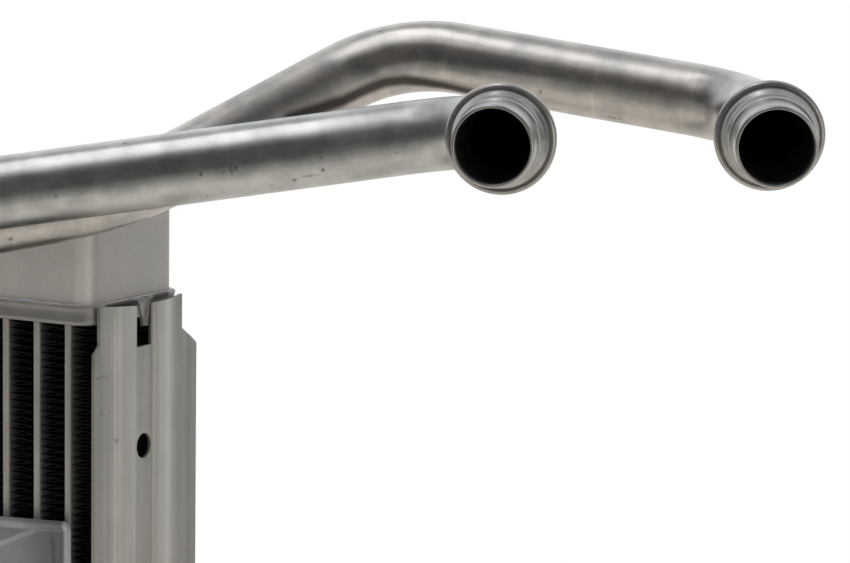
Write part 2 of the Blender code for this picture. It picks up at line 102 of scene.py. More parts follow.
# Cross-section of the tab, front to back: shares of its half width and of its valley.
TAB_LINE = ((-1.0, 0.0), (-0.5, -0.45), (0.0, -1.0), (0.5, -0.35), (1.0, 0.0))
# The lip in millimetres: inset, and height over the header's inner face.
LIP_OUTSIDE = (
    (1.1, 0.0), (0.6, 0.08), (0.25, 0.3), (0.05, 0.7), (0.0, 1.1), (0.1, 1.6), (0.2, 2.2), (0.24, 2.9),
    (0.2, 3.5), (0.06, 3.95), (0.0, 4.2), (0.08, 4.42), (0.26, 4.56), (0.5, 4.6),
)
LIP_INSIDE = ((0.8, 4.6), (1.05, 4.52), (1.2, 4.3), (1.2, 1.9), (1.4, 1.65), (1.8, 1.6))
TANK_WALL = 1.2 * MM
TANK_CORNER = 4.5 * MM
TANK_EDGE = 2.5 * MM
TUBE_WALL = 0.4 * MM
FIN_SHEET = 0.1 * MM
FIN_PITCH = 1.7 * MM
LOUVRE_PITCH = 1.1 * MM
LOUVRE_DEPTH = 0.1 * MM
# How sharp a fold is, and the places on half a fold that get points, closest at its crest.
FOLD_CREST = 0.985
HALF_FOLD = (0.0, 0.125, 0.2, 0.235, 0.25, 0.265, 0.3, 0.375)

# Braze seam, swollen and lifted by noise. It is thinner on the short sides.
SEAM_RADIUS = 0.42 * MM
SEAM_STEP = 1.2 * MM
SEAM_SINK = 0.1 * MM
SEAM_SWELL = ((0.55, 260.0), (0.35, 900.0))
SEAM_THINNER = 0.6
SEAM_LIFT = 0.35 * MM
SEAM_LIFT_FINENESS = 180.0
SEAM_LIFT_START = Vector((3, 1, 2))

# Pipes, with their corner points and bend radii in millimetres, measured from the datum.
PIPE_RADIUS = 8.0 * MM
PIPE_BORE = 7.0 * MM
PIPE_INSERT = 2.0 * MM
# The stop at the tank's wall, in millimetres: distance from the wall, rise over the pipe.
STOP_PROFILE = (
    (0.0, 0.0), (0.15, 0.7), (0.4, 1.1), (0.9, 1.3), (1.5, 1.3), (2.0, 1.1), (2.4, 0.6), (2.7, 0.0),
)
FRONT_PIPE = {
    "port": -118.0 * MM, "lane": -45.2 * MM, "aim": (20.0, -1.5), "tail": 29.0 * MM,
    "corners": ((-24.6, -45.2, 30.2), (96.1, 22.0, 50.9)),
    "radii": (22.0, 30.0, 22.0),
}
REAR_PIPE = {
    "port": -58.0 * MM, "lane": -27.2 * MM, "aim": (30.3, -5.0), "tail": 31.0 * MM,
    "corners": ((-24.6, -27.2, 24.0), (9.8, -4.3, 31.1), (55.8, 39.7, 64.3), (137.9, 52.9, 53.9)),
    "radii": (22.0, 30.0, 108.0, 33.0, 22.0),
}
BEAD_LENGTH = 2.6 * MM
# Formed end in millimetres: distance from the bead's back, outer radius.
END_OUTSIDE = (
    (0.0, 8.05), (0.05, 8.5), (0.08, 9.6), (0.12, 10.7), (0.3, 11.25), (0.62, 11.63), (1.05, 11.83),
    (1.5, 11.85), (1.9, 11.72), (2.2, 11.47), (2.36, 11.15), (2.38, 10.95), (2.2, 10.78), (2.16, 10.62),
    (2.3, 10.5), (2.7, 10.46), (3.1, 10.36), (3.6, 10.05), (4.05, 9.7), (4.45, 9.48), (4.9, 9.4),
    (7.6, 9.4), (7.9, 9.33), (8.1, 9.12), (8.2, 8.92), (8.45, 8.82), (8.9, 8.8), (13.9, 8.8),
    (14.3, 8.74), (14.6, 8.58), (14.76, 8.38), (14.8, 8.2),
)
# The bore, from the mouth inwards.
END_INSIDE = (
    (14.76, 8.05), (14.6, 7.93), (14.3, 7.87), (13.9, 7.85), (13.2, 7.85), (6.0, 7.85), (4.6, 7.75),
    (3.0, 7.3), (1.6, 7.02), (0.0, 7.0),
)
# Rings of the bore next to the mouth keep the hose end's metal; the rest of the bore is painted shade.
BRIGHT_BORE_RINGS = 4
# Material slots of the bore and of the hose end, and the name of the pipes' own coordinates.
BORE_SLOT = 1
END_SLOT = 2
STRAIGHTENED = "straightened"

# Bracket on the front of the core.
BRACKET_CORNER = 2.4 * MM
BRACKET_RIM = 1.7 * MM
RIM_ROUND = 0.25 * MM
RIM_RAMP = (-0.3 * MM, 0.7 * MM)
BRACKET_UNDERCUT = 3.0 * MM
BRACKET_CELL = 0.4 * MM
CREASE_DEPTH = 0.3 * MM
CREASE_SLOPE = 21.7
CREASE_START = -2.9 * MM
PANEL_DROP = 0.5 * MM
PANEL_RAMP = 0.9 * MM
FACET_SLOPE = 7.0
CORNER_LIFT = 0.9 * MM
CORNER_LIFT_REACH = 19.0 * MM

# Smoothness of the visible pieces.
CORNER_STEPS = 12
NOSE_STEPS = 8
EDGE_STEPS = 8
SLOT_STEPS = 4
SEAM_SIDES = 10
PLATE_COLUMNS = 150
PLATE_ROWS = 24
PIPE_SIDES = 80
BEND_STEP = 4.0
STATION_STEP = 2.5 * MM
HOLE_SIDES = 48
TOOL_REACH = 5.0 * MM

# Scuffs as the photograph shows them: pixel, half length and half width in millimetres.
FRONT_SCUFFS = (
    (56, 196, 0.45, 0.35), (40, 198, 0.25, 0.2), (201, 174, 0.3, 0.5), (223, 172, 0.35, 0.45),
    (231, 170, 0.5, 0.9), (236, 168, 0.45, 0.5), (323, 170, 0.35, 0.45), (295, 180, 0.45, 0.4),
    (310, 176, 1.6, 0.18), (207, 196, 0.35, 0.3), (272, 186, 0.35, 0.25), (396, 153, 0.3, 0.25),
    (154, 192, 0.2, 0.2), (207, 194, 0.25, 0.3), (125, 143, 0.4, 0.3), (320, 158, 0.5, 0.3),
)
REAR_SCUFFS = (
    (614, 118, 1.7, 0.3), (555, 109, 1.6, 0.2), (12, 239, 1.3, 0.5), (380, 31, 0.6, 0.35),
    (437, 68, 0.5, 0.35), (540, 92, 0.4, 0.5),
)
# The first header mark is painted shade in the dark gap above the right side plate; the others are flux
# stains round the tab.
HEADER_MARKS = ((127, 299, 1.3, 0.8), (141, 302, 1.2, 0.8), (148, 311, 0.8, 0.8), (146, 321, 1.0, 0.5))
PLATE_SCUFFS = ((102, 412, 0.7, 0.5), (127, 414, 0.35, 0.4), (117, 441, 0.5, 0.6), (102, 378, 0.4, 1.6))

# Dark bands of painted shade and painted reflection: half widths of the full tone and of the fade in
# millimetres, the tone, then pixels along them.
# On the rear pipe: a painted dark reflection of the front pipe along its long bend, and painted shade that
# dims the softbox's highlight on its rising slope.
REAR_BANDS = (
    (0.5, 2.5, 0.95,
     (290, 119), (305, 113.5), (343, 101), (366, 90), (386, 82.5), (406, 80.5), (432, 84), (470, 92)),
    (0.8, 4.2, 0.36, (205, 134), (260, 105), (300, 84), (330, 70)),
)
# On the header: painted shade in the gaps above the right side plate's top, and a stripe of painted shade
# down the tab.
HEADER_BANDS = (
    (0.5, 1.3, 0.8, (108, 308), (132, 303)),
    (0.4, 1.2, 0.8, (155, 297), (167, 294)),
    (0.6, 1.8, 0.4, (146, 297), (147, 323)),
)
# On the bracket: two lines of painted shade near its right edge.
BRACKET_BANDS = ((0.2, 1.0, 0.3, (53.5, 531), (53.5, 562)), (0.1, 0.9, 0.12, (60, 529), (60, 562)))

# Rings across the rear pipe: pixel, half width in millimetres and change of tone.
# The second ring, at the start of the last bend, is a painted highlight on a crease.
REAR_RINGS = ((594, 80, 0.35, 0.16), (686, 90, 0.7, 0.10))

# Duller stretches of the pipes: the pixels at which they start and end, and the rise in roughness.
FRONT_DULL = (((330, 150), (446, 130), 0.07),)
REAR_DULL = (((205, 125), (335, 62), 0.16), ((500, 60), (708, 95), 0.04))
DULL_FADE = 6.0 * MM

# Gradual changes of tone: where each starts and ends, and its factor. They are measured inwards from the
# bracket's right edge, inwards from the tanks' right side in corner radii, and back from the plates' groove.
# On the tanks and the plates they are painted highlights and painted shade.
BRACKET_SHADES = ((19.0 * MM, 3.0 * MM, 0.57), (1.6 * BRACKET_RIM, BRACKET_RIM, 2.6))
# Painted highlight round the tank's right corner, then painted shade on its right side.
TANK_SHADES = ((1.1, 0.6, 1.2), (0.3, 0.03, 0.65))
# Painted light and shade on the facets of the plates' pressed profile: a darker front strip, a lighter front
# ridge, a darker groove, a lighter rear ridge, and shade growing towards the back edge.
PLATE_SHADES = (
    (-9.0 * MM, -10.8 * MM, 1.14), (-12.3 * MM, -14.5 * MM, 0.72), (-4.6 * MM, -3.6 * MM, 0.85),
    (3.2 * MM, 4.2 * MM, 1.18), (4.8 * MM, 6.4 * MM, 1.08), (8.8 * MM, 15.5 * MM, 0.67),
    (17.0 * MM, 20.0 * MM, 0.8),
)

# Worked metal: fineness of each noise in cells a metre, with the shares of tone, roughness and relief.
LINE_FINENESS = 1400.0
LINE_TONE = 0.16
CLOUD_EDGES = (0.3, 0.7)
CLOUD_LIGHT = 0.7
PIT_FINENESS = 950.0
PIT_EDGE = 0.05
PIT_TONE = 0.55
SCUFF_FINENESS = 1300.0
SCUFF_EDGES = (0.36, 0.62)
SCUFF_FADE = 2.8
FINE_FINENESS = 2600.0
FINE_RELIEF = 0.6
GRIME_AND_SHADE_RELIEF = 0.8
GRIME_AND_SHADE_ROUGHNESS = 0.2
WAVE_FINENESS = 110.0
WAVE_STRETCH = (0.4, 1.0, 1.0)
RELIEF_DEPTH = 0.05 * MM

# Colours of the surfaces.
PIPE_COLOUR = (0.56, 0.565, 0.56)
REAR_PIPE_COLOUR = (0.56, 0.55, 0.53)
PIPE_TINT = (0.56, 0.56, 0.55)
REAR_PIPE_TINT = (0.585, 0.545, 0.51)
TANK_COLOUR = (0.515, 0.505, 0.485)
TANK_TINT = (0.525, 0.49, 0.465)
BRAZE_COLOUR = (0.62, 0.61, 0.60)
HEADER_COLOUR = (0.335, 0.326, 0.312)
PLATE_COLOUR = (0.465, 0.45, 0.425)
TUBE_COLOUR = (0.50, 0.495, 0.46)
# Near black: painted shade for the fins deep between the tubes.
FIN_SHADE_COLOUR = (0.022, 0.022, 0.024)
BRACKET_COLOUR = (0.36, 0.372, 0.395)
END_COLOUR = (0.47, 0.46, 0.445)
# Near black: painted shade for the inside of the pipes.
BORE_SHADE_COLOUR = (0.008, 0.008, 0.008)
# Dark colour of grime, and of the painted shade in the dark bands.
GRIME_AND_SHADE_COLOUR = (0.07, 0.06, 0.055)
WHITE = (1.0, 1.0, 1.0)

# Table and lamp. The table turns white between two reaches, and dims in the metal towards the camera by
# painted shade.
FLOOR_RADIUS = 0.6
FLOOR_GAP = 0.2 * MM
FLOOR_CLEAR = 0.28
FLOOR_END = 0.97
FLOOR_COLOUR = (0.90, 0.86, 0.79)
FLOOR_SHADE = (0.15, 0.72)
FLOOR_SHADE_START = 0.15
LAMP_PLACE = (-0.25, 0.05, 1.0)
LAMP_SIZE = (0.34, 0.5)
LAMP_POWER = 1.0
ROOM_LIGHT = 0.95

# Studio, as the metal sees it: 1 is the white of the backdrop. Each pair is where a part of the view fades,
# by how far a direction rises, or points towards the camera, away from it, to its right or at a panel.
BACKDROP = (0.97, 1.0, 1.02)
BACKDROP_EDGE = (0.0, -0.75)
BACKDROP_RISE = (0.5, 0.92)
BACKDROP_TOP = 0.45
DARK_ROOM = (0.058, 0.056, 0.055)
TABLE_EDGE = (0.34, 0.32, 0.29)
TABLE_EDGE_RISE = (-0.1, -0.45)
CEILING = (0.55, 0.58, 0.62)
CEILING_START = (-0.5, -0.1)
CEILING_RISE = (0.5, 0.9)
SIDE_PANEL = (1.0, 0.97, 0.94)
SIDE_PANEL_WAY = (50.0, -4.0)
SIDE_PANEL_EDGE = (0.84, 0.985)
HIGH_PANEL = (1.0, 0.98, 0.96)
HIGH_PANEL_PLACE = (-0.52, -0.35)
HIGH_PANEL_EDGE = (0.978, 0.989)
SOFTBOX_LIGHT = (2.95, 2.97, 3.0)
SOFTBOX_RISE = (0.4, 0.6)
SOFTBOX_MIDDLE = -0.226
SOFTBOX_SIDES = (0.08, 0.045)
SOFTBOX_FRONT = (-0.68, -0.2)
SOFTBOX_BACK = (0.38, 0.26)


def direction(turn, rise):
    """A level direction that is turned to the right of -Y, and raised."""
    turn, rise = radians(turn), radians(rise)
    return Vector((sin(turn) * cos(rise), -cos(turn) * cos(rise), sin(rise)))


def datum():
    """The front top corner of the right side plate, under the top header."""
    low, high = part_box("side_plate_right")
    return Vector((high.x - RIDGE_RISE, low.y, high.z - PLATE_LAP))


DATUM = datum()
TO_CAMERA = direction(CAMERA_TURN, 0.0)
CAMERA_RIGHT = direction(CAMERA_TURN + 90.0, 0.0)


def smoothstep(value, start, end):
    part = min(1.0, max(0.0, (value - start) / (end - start)))
    return part * part * (3 - 2 * part)


def placed(name, data):
    """A new object in the scene."""
    ob = bpy.data.objects.new(name, data)
    bpy.context.scene.collection.objects.link(ob)
    return ob


def make_camera():
    data = bpy.data.cameras.new("camera")
    data.sensor_width = SENSOR
    data.lens = FOCAL_PIXELS / PICTURE[0] * SENSOR
    data.clip_start, data.clip_end = 0.05, 50.0
    camera = placed("camera", data)
    back = direction(CAMERA_TURN, CAMERA_RISE)
    up = back.cross(CAMERA_RIGHT)
    roll = radians(CAMERA_ROLL)
    across = CAMERA_RIGHT * cos(roll) + up * sin(roll)
    upright = up * cos(roll) - CAMERA_RIGHT * sin(roll)
    turned = Matrix((across, upright, back)).transposed()
    camera.matrix_world = Matrix.Translation(DATUM + CAMERA_FROM_DATUM) @ turned.to_4x4()
    bpy.context.scene.camera = camera
    return camera


def seen_point(camera, ob, pixel):
    """The point of a piece that shows at a pixel of the photograph, or None."""
    x = (pixel[0] - PICTURE[0] / 2) / FOCAL_PIXELS
    y = (PICTURE[1] / 2 - pixel[1]) / FOCAL_PIXELS
    ray = camera.matrix_world.to_3x3() @ Vector((x, y, -1.0))
    hit, place, _, _ = ob.ray_cast(camera.matrix_world.translation, ray.normalized())
    return place if hit else None


def mesh_object(name, points, faces, sharp=35.0):
    """A closed mesh with its normals turned outwards, smooth up to an angle."""
    mesh = bpy.data.meshes.new(name)
    mesh.from_pydata([tuple(p) for p in points], [], faces)
    bm = bmesh.new()
    bm.from_mesh(mesh)
    bmesh.ops.recalc_face_normals(bm, faces=bm.faces)
    if bm.calc_volume(signed=True) < 0:
        bmesh.ops.reverse_faces(bm, faces=bm.faces)
    bm.to_mesh(mesh)
    bm.free()
    mesh.shade_smooth()
    mesh.set_sharp_from_angle(angle=radians(sharp))
    return placed(name, mesh)


def loft(name, rings, closed=False, sharp=35.0):
    """A mesh through rings of equal count. A closed loft joins its last ring to its first."""
    count = len(rings[0])
    points = [p for ring in rings for p in ring]
    faces = []
    for r in range(len(rings) if closed else len(rings) - 1):
        low = r * count
        high = (r + 1) % len(rings) * count
        for i in range(count):
            j = (i + 1) % count
            faces.append((low + i, low + j, high + j, high + i))
    if not closed:
        faces.append(tuple(range(count)))
        faces.append(tuple(range(len(points) - count, len(points))))
    return mesh_object(name, points, faces, sharp)


def rounded_outline(width, depth, corner, steps):
    """Points of a rectangle with rounded corners. Half round ends share their middle point."""
    points = []
    shared = 1 if 2 * corner > width - 0.001 * MM else 0
    for quarter, (sx, sy) in enumerate(((1, 1), (-1, 1), (-1, -1), (1, -1))):
        cx = sx * (width / 2 - corner)
        cy = sy * (depth / 2 - corner)
        for step in range(shared * (quarter % 2), steps + 1):
            angle = (quarter + step / steps) * pi / 2
            points.append((cx + corner * cos(angle), cy + corner * sin(angle)))
    return points


def circle(count):
    """Cosine and sine of angles that are evenly spaced round a circle."""
    angles = [2 * pi * k / count for k in range(count)]
    return [(cos(a), sin(a)) for a in angles]


def level_ring(outline, centre, z):
    """An outline as a level ring of points round a centre."""
    return [Vector((x + centre.x, y + centre.y, z)) for x, y in outline]


def nodes_named(start):
    """The solids whose names start alike, in order."""
    return sorted(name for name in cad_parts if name.startswith(start))


def joined(name, pieces):
    """One mesh object that holds the meshes of several pieces."""
    bm = bmesh.new()
    for piece in pieces:
        bm.from_mesh(piece.data)
    mesh = bpy.data.meshes.new(name)
    bm.to_mesh(mesh)
    bm.free()
    for piece in pieces:
        bpy.data.objects.remove(piece, do_unlink=True)
    return placed(name, mesh)


def apply_modifiers(ob, sharp=35.0):
    graph = bpy.context.evaluated_depsgraph_get()
    mesh = bpy.data.meshes.new_from_object(ob.evaluated_get(graph))
    ob.modifiers.clear()
    ob.data = mesh
    mesh.shade_smooth()
    mesh.set_sharp_from_angle(angle=radians(sharp))


def combine(ob, tool, operation):
    """Cuts a tool out of a piece, or joins it on, and removes the tool."""
    boolean = ob.modifiers.new("tool", "BOOLEAN")
    boolean.operation = operation
    boolean.solver = "EXACT"
    boolean.object = tool
    apply_modifiers(ob)
    bpy.data.objects.remove(tool, do_unlink=True)


def soften(ob, width, segments=2, angle=50.0):
    """Rounds the sharp edges of a piece."""
    bevel = ob.modifiers.new("edges", "BEVEL")
    bevel.width = width
    bevel.segments = segments
    bevel.limit_method = "ANGLE"
    bevel.angle_limit = radians(angle)
    apply_modifiers(ob, 50.0)


def dress(ob, slot, material, *nodes):
    """Gives a piece its material and its place on the body, and hides the solids that it stands for."""
    ob.data.materials.clear()
    ob.data.materials.append(material)
    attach(ob, BODY)
    if nodes:
        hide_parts(*nodes)
    return ob


def new_material(name):
    """A material, with its node tree and its main shader."""
    material = bpy.data.materials.new(name)
    material.use_nodes = True
    return material, material.node_tree, material.node_tree.nodes["Principled BSDF"]


def feed(made, feeds):
    """Gives inputs of a node their values, or links them to the sockets of other nodes."""
    for key, value in feeds.items():
        if isinstance(value, bpy.types.NodeSocket):
            made.id_data.links.new(value, made.inputs[key])
        else:
            made.inputs[key].default_value = value


def node(kind, feeds=None, tree=None, **settings):
    """A shader node, fed by values or by the sockets of other nodes, in whose tree it is made."""
    feeds = feeds or {}
    for value in feeds.values():
        if isinstance(value, bpy.types.NodeSocket):
            tree = value.id_data
    made = tree.nodes.new(kind)
    for name, value in settings.items():
        setattr(made, name, value)
    feed(made, feeds)
    return made


def calc(operation, *values):
    return node("ShaderNodeMath", dict(enumerate(values)), operation=operation).outputs[0]


def product(first, second):
    return calc("MULTIPLY", first, second)


def squared(value):
    return product(value, value)


def vector_calc(operation, *values, output="Vector"):
    feeds = dict(enumerate(values))
    return node("ShaderNodeVectorMath", feeds, operation=operation).outputs[output]


def along(vector, way):
    """How far a vector reaches along a direction."""
    return vector_calc("DOT_PRODUCT", vector, tuple(way), output="Value")


def scaled(vector, factors):
    """A vector times a factor for each axis."""
    return vector_calc("MULTIPLY", vector, factors)


def multiplied(vector, factor):
    """A vector or a colour times one number."""
    return node("ShaderNodeVectorMath", {0: vector, "Scale": factor}, operation="SCALE").outputs[0]


def on_axis(vector, axis):
    return node("ShaderNodeSeparateXYZ", {0: vector}).outputs[axis]


def own_place(tree):
    """Where a point lies on its piece, in the piece's own coordinates."""
    return node("ShaderNodeTexCoord", tree=tree).outputs["Object"]


def grain_of(vector, scale, detail=3.0, rough=0.55):
    feeds = {"Vector": vector, "Scale": scale, "Detail": detail, "Roughness": rough}
    return node("ShaderNodeTexNoise", feeds).outputs["Fac"]


def ranged(value, start, end, low=0.0, high=1.0):
    feeds = {"Value": value, "From Min": start, "From Max": end, "To Min": low, "To Max": high}
    return node("ShaderNodeMapRange", feeds, interpolation_type="SMOOTHSTEP").outputs["Result"]


def blended(factor, first, second):
    feeds = {0: factor, 6: first, 7: second}
    return node("ShaderNodeMix", feeds, data_type="RGBA").outputs[2]


def shade(colour, factor=1.0):
    """A colour for a socket, made darker or lighter by a factor."""
    return tuple(c * factor for c in colour) + (1.0,)


def scuff_and_shade_mask(place, marks, way):
    """Worn spots round the given places, each longer along one direction. On the header one spot is painted
    shade in a gap.
    """
    total = 0.0
    for point, length, width in marks:
        away = vector_calc("SUBTRACT", place, tuple(point))
        dot = along(away, way)
        size = vector_calc("LENGTH", away, output="Value")
        beside = calc("SUBTRACT", squared(size), squared(dot))
        across = calc("DIVIDE", beside, width * width)
        lengthwise = squared(calc("DIVIDE", dot, length))
        reach = calc("ADD", lengthwise, across)
        total = calc("MAXIMUM", total, ranged(reach, SCUFF_FADE, 0.0))
    return total


def band_mask(place, points, inner, outer):
    """A soft band along a line of points."""
    total = 0.0
    for start, end in zip(points, points[1:]):
        run = end - start
        away = vector_calc("SUBTRACT", place, tuple(start))
        share = calc("DIVIDE", along(away, run), run.length_squared)
        share = node("ShaderNodeClamp", {0: share}).outputs[0]
        nearest = multiplied(tuple(run), share)
        gap = vector_calc("DISTANCE", away, nearest, output="Value")
        total = calc("MAXIMUM", total, ranged(gap, outer, inner))
    return total


def ring_marks(distance, rings):
    """Lines round a pipe, each at its distance along the pipe."""
    total = 0.0
    for place, width, strength in rings:
        away = calc("ABSOLUTE", calc("SUBTRACT", distance, place))
        line = product(ranged(away, width, 0.0), strength)
        total = calc("MAXIMUM", total, line)
    return total


def dull_stretches(distance, gloss, stretches):
    """Raises the roughness along some stretches of a pipe."""
    for start, end, rise in stretches:
        share = ranged(distance, start - DULL_FADE, start + DULL_FADE, 0.0, rise)
        share = product(share, ranged(distance, end + DULL_FADE, end - DULL_FADE))
        gloss = calc("ADD", gloss, share)
    return gloss


def grime_and_shade_of(place, base, spots, marks, lengthways, wear, bands):
    """How much the surface darkens: grime in pits and in scuffs with a broken edge, and painted shade in dark
    bands.
    """
    pits = ranged(grain_of(base, PIT_FINENESS, 3.0, 0.62), spots, spots + PIT_EDGE)
    grime_and_shade = product(pits, PIT_TONE)
    if marks:
        broken = ranged(grain_of(base, SCUFF_FINENESS), *SCUFF_EDGES)
        worn_and_shaded = product(scuff_and_shade_mask(place, marks, lengthways), broken)
        grime_and_shade = calc("MAXIMUM", grime_and_shade, product(worn_and_shaded, wear))
    for points, inner, outer, strength in bands:
        band = product(band_mask(place, points, inner, outer), strength)
        grime_and_shade = calc("MAXIMUM", grime_and_shade, band)
    return grime_and_shade


def worked_relief(base, lines, grime_and_shade, relief, waves):
    """The normal of worked metal: its lines, its fine grain and its pits, on a wall with slight waves."""
    fine = grain_of(base, FINE_FINENESS, 2.0)
    height = calc("ADD", lines, product(fine, FINE_RELIEF))
    height = calc("SUBTRACT", height, product(grime_and_shade, GRIME_AND_SHADE_RELIEF))
    swell = grain_of(scaled(base, WAVE_STRETCH), WAVE_FINENESS, 2.0)
    waved = node("ShaderNodeBump", {"Height": swell, "Strength": 1.0, "Distance": waves}).outputs[0]
    feeds = {"Height": height, "Strength": relief, "Distance": RELIEF_DEPTH, "Normal": waved}
    return node("ShaderNodeBump", feeds).outputs[0]


def aluminium(name, colour, roughness, grain=(1.0, 1.0, 1.0), tint=None, patch=70.0, spots=0.72, relief=0.08,
              marks=(), lengthways=(1, 0, 0), coordinates=None, streaks=0.5, wear=0.75, rings=(), metal=0.8,
              cloudy=0.07, waves=0.1 * MM, bands=(), dull=(), uneven=0.14):
    """Worked aluminium: cloudy tone, drawn or rolled lines, pits, scuffs and fine relief.

    Clouds lie between colour and tint, with patch as their fineness and cloudy as their contrast. Lines run
    where grain is small, with streaks as their contrast. Pits show where noise passes spots, and scuffs
    darken by wear. Roughness varies by uneven, relief is for lines and pits, and waves for the whole wall.
    """
    material, tree, shader = new_material(name)
    place = own_place(tree)
    base = place
    if coordinates:
        base = node("ShaderNodeAttribute", tree=tree, attribute_name=coordinates).outputs["Vector"]
    distance = on_axis(base, "X")
    clouds = grain_of(base, patch, 4.0)
    lines = grain_of(scaled(base, grain), LINE_FINENESS, 2.0)
    dark, light = shade(colour, 1.0 - cloudy), shade(tint or colour, 1.0 + CLOUD_LIGHT * cloudy)
    tone = blended(ranged(clouds, *CLOUD_EDGES), dark, light)
    level = product(lines, 2 * LINE_TONE * streaks)
    level = calc("ADD", 1.0 - LINE_TONE * streaks, level)
    if rings:
        level = calc("ADD", level, ring_marks(distance, rings))
    grime_and_shade = grime_and_shade_of(place, base, spots, marks, lengthways, wear, bands)
    # Grime and painted shade both blend the tone towards one dark colour.
    tone = blended(grime_and_shade, multiplied(tone, level), shade(GRIME_AND_SHADE_COLOUR))
    gloss = calc("ADD", roughness - uneven / 2, product(clouds, uneven))
    gloss = calc("ADD", gloss, product(grime_and_shade, GRIME_AND_SHADE_ROUGHNESS))
    feed(shader, {"Metallic": metal, "Base Color": tone, "Roughness": dull_stretches(distance, gloss, dull),
                  "Normal": worked_relief(base, lines, grime_and_shade, relief, waves)})
    return material


def toned_along(material, axis, start, end, factor):
    """Darkens or lightens a material gradually along an axis, from one place to another."""
    tree = material.node_tree
    shader = tree.nodes["Principled BSDF"]
    tone = shader.inputs["Base Color"].links[0].from_socket
    level = ranged(on_axis(own_place(tree), axis), start, end, 1.0, factor)
    feed(shader, {"Base Color": multiplied(tone, level)})


def fin_material():
    """Thin fin stock, coloured near black as painted shade between the tubes, with faint louvre lines across
    its depth.
    """
    material = aluminium("fin_stock_in_painted_shade", FIN_SHADE_COLOUR, 0.5, grain=(1.0, 0.1, 1.0), patch=120.0)
    tree = material.node_tree
    shader = tree.nodes["Principled BSDF"]
    depth = on_axis(own_place(tree), "Y")
    louvre = calc("SINE", product(depth, 2 * pi / LOUVRE_PITCH))
    feeds = {"Height": louvre, "Strength": 0.5, "Distance": LOUVRE_DEPTH}
    feed(shader, {"Normal": node("ShaderNodeBump", feeds).outputs[0]})
    return material


def plain_metal(name, colour, roughness):
    """Stained metal without lines or relief, for places that hardly show."""
    material, tree, shader = new_material(name)
    stain = grain_of(own_place(tree), 300.0)
    tone = blended(stain, shade(colour, 0.5), shade(colour, 1.5))
    feed(shader, {"Metallic": 0.3, "Roughness": roughness, "Base Color": tone})
    return material


def aligned(before, after, side):
    """Two directions square to the way at a station, the first as near as can be to the one before."""
    way = (before.normalized() + after.normalized()).normalized()
    side = (side - way * side.dot(way)).normalized()
    return side, way.cross(side)


def pipe_path(port, plan):
    """A pipe's centreline, from inside the tank to the bead of its end, and the way that its end points."""
    inside = port + Vector((0, TANK_WALL + PIPE_INSERT, 0))
    turn = Vector((port.x, DATUM.y + plan["lane"], port.z))
    ahead = direction(*plan["aim"])
    route = [DATUM + Vector(corner) * MM for corner in plan["corners"]]
    bead = route[-1] + ahead * (plan["tail"] - BEAD_LENGTH / 2)
    return bent_path([inside, turn, *route, bead], [radius * MM for radius in plan["radii"]]), ahead


def pipe_frames(centres, ahead):
    """Two directions square to the pipe at each station, carried on without a twist, and those of its end."""
    frames = []
    side = Vector((1, 0, 0))
    for i, centre in enumerate(centres):
        before = centre - centres[i - 1] if i else centres[1] - centre
        after = centres[i + 1] - centre if i + 1 < len(centres) else ahead
        side, up = aligned(before, after, side)
        frames.append((side, up))
    return frames, aligned(ahead, ahead, side)


def straighten(ob, stations):
    """Coordinates for the shaders as if the pipe were straight: the distance along it, then two across."""
    values = []
    travelled = 0.0
    for i, (centre, radius) in enumerate(stations):
        travelled += (centre - stations[i - 1][0]).length if i else 0.0
        for c, s in circle(PIPE_SIDES):
            values += [travelled, radius * c, radius * s]
    straight = ob.data.attributes.new(STRAIGHTENED, "FLOAT_VECTOR", "POINT")
    straight.data.foreach_set("vector", values)


def bent_path(corners, radii):
    """Centreline points: straight between bends, with an arc of its radius at each bend."""
    path = [corners[0]]
    for before, corner, after, radius in zip(corners, corners[1:], corners[2:], radii):
        back = (before - corner).normalized()
        ahead = (after - corner).normalized()
        half = back.angle(ahead) / 2
        centre = corner + (back + ahead).normalized() * radius / sin(half)
        start = corner + back * radius / tan(half) - centre
        end = corner + ahead * radius / tan(half) - centre
        steps = ceil(degrees(pi - 2 * half) / BEND_STEP)
        sweep = start.angle(end)
        for step in range(steps + 1):
            part = step / steps
            arm = (start * sin((1 - part) * sweep) + end * sin(part * sweep)) / sin(sweep)
            path.append(centre + arm)
    path.append(corners[-1])
    stations = [path[0]]
    for before, after in zip(path, path[1:]):
        parts = max(1, round((after - before).length / STATION_STEP))
        stations += [before.lerp(after, (k + 1) / parts) for k in range(parts)]
    return stations


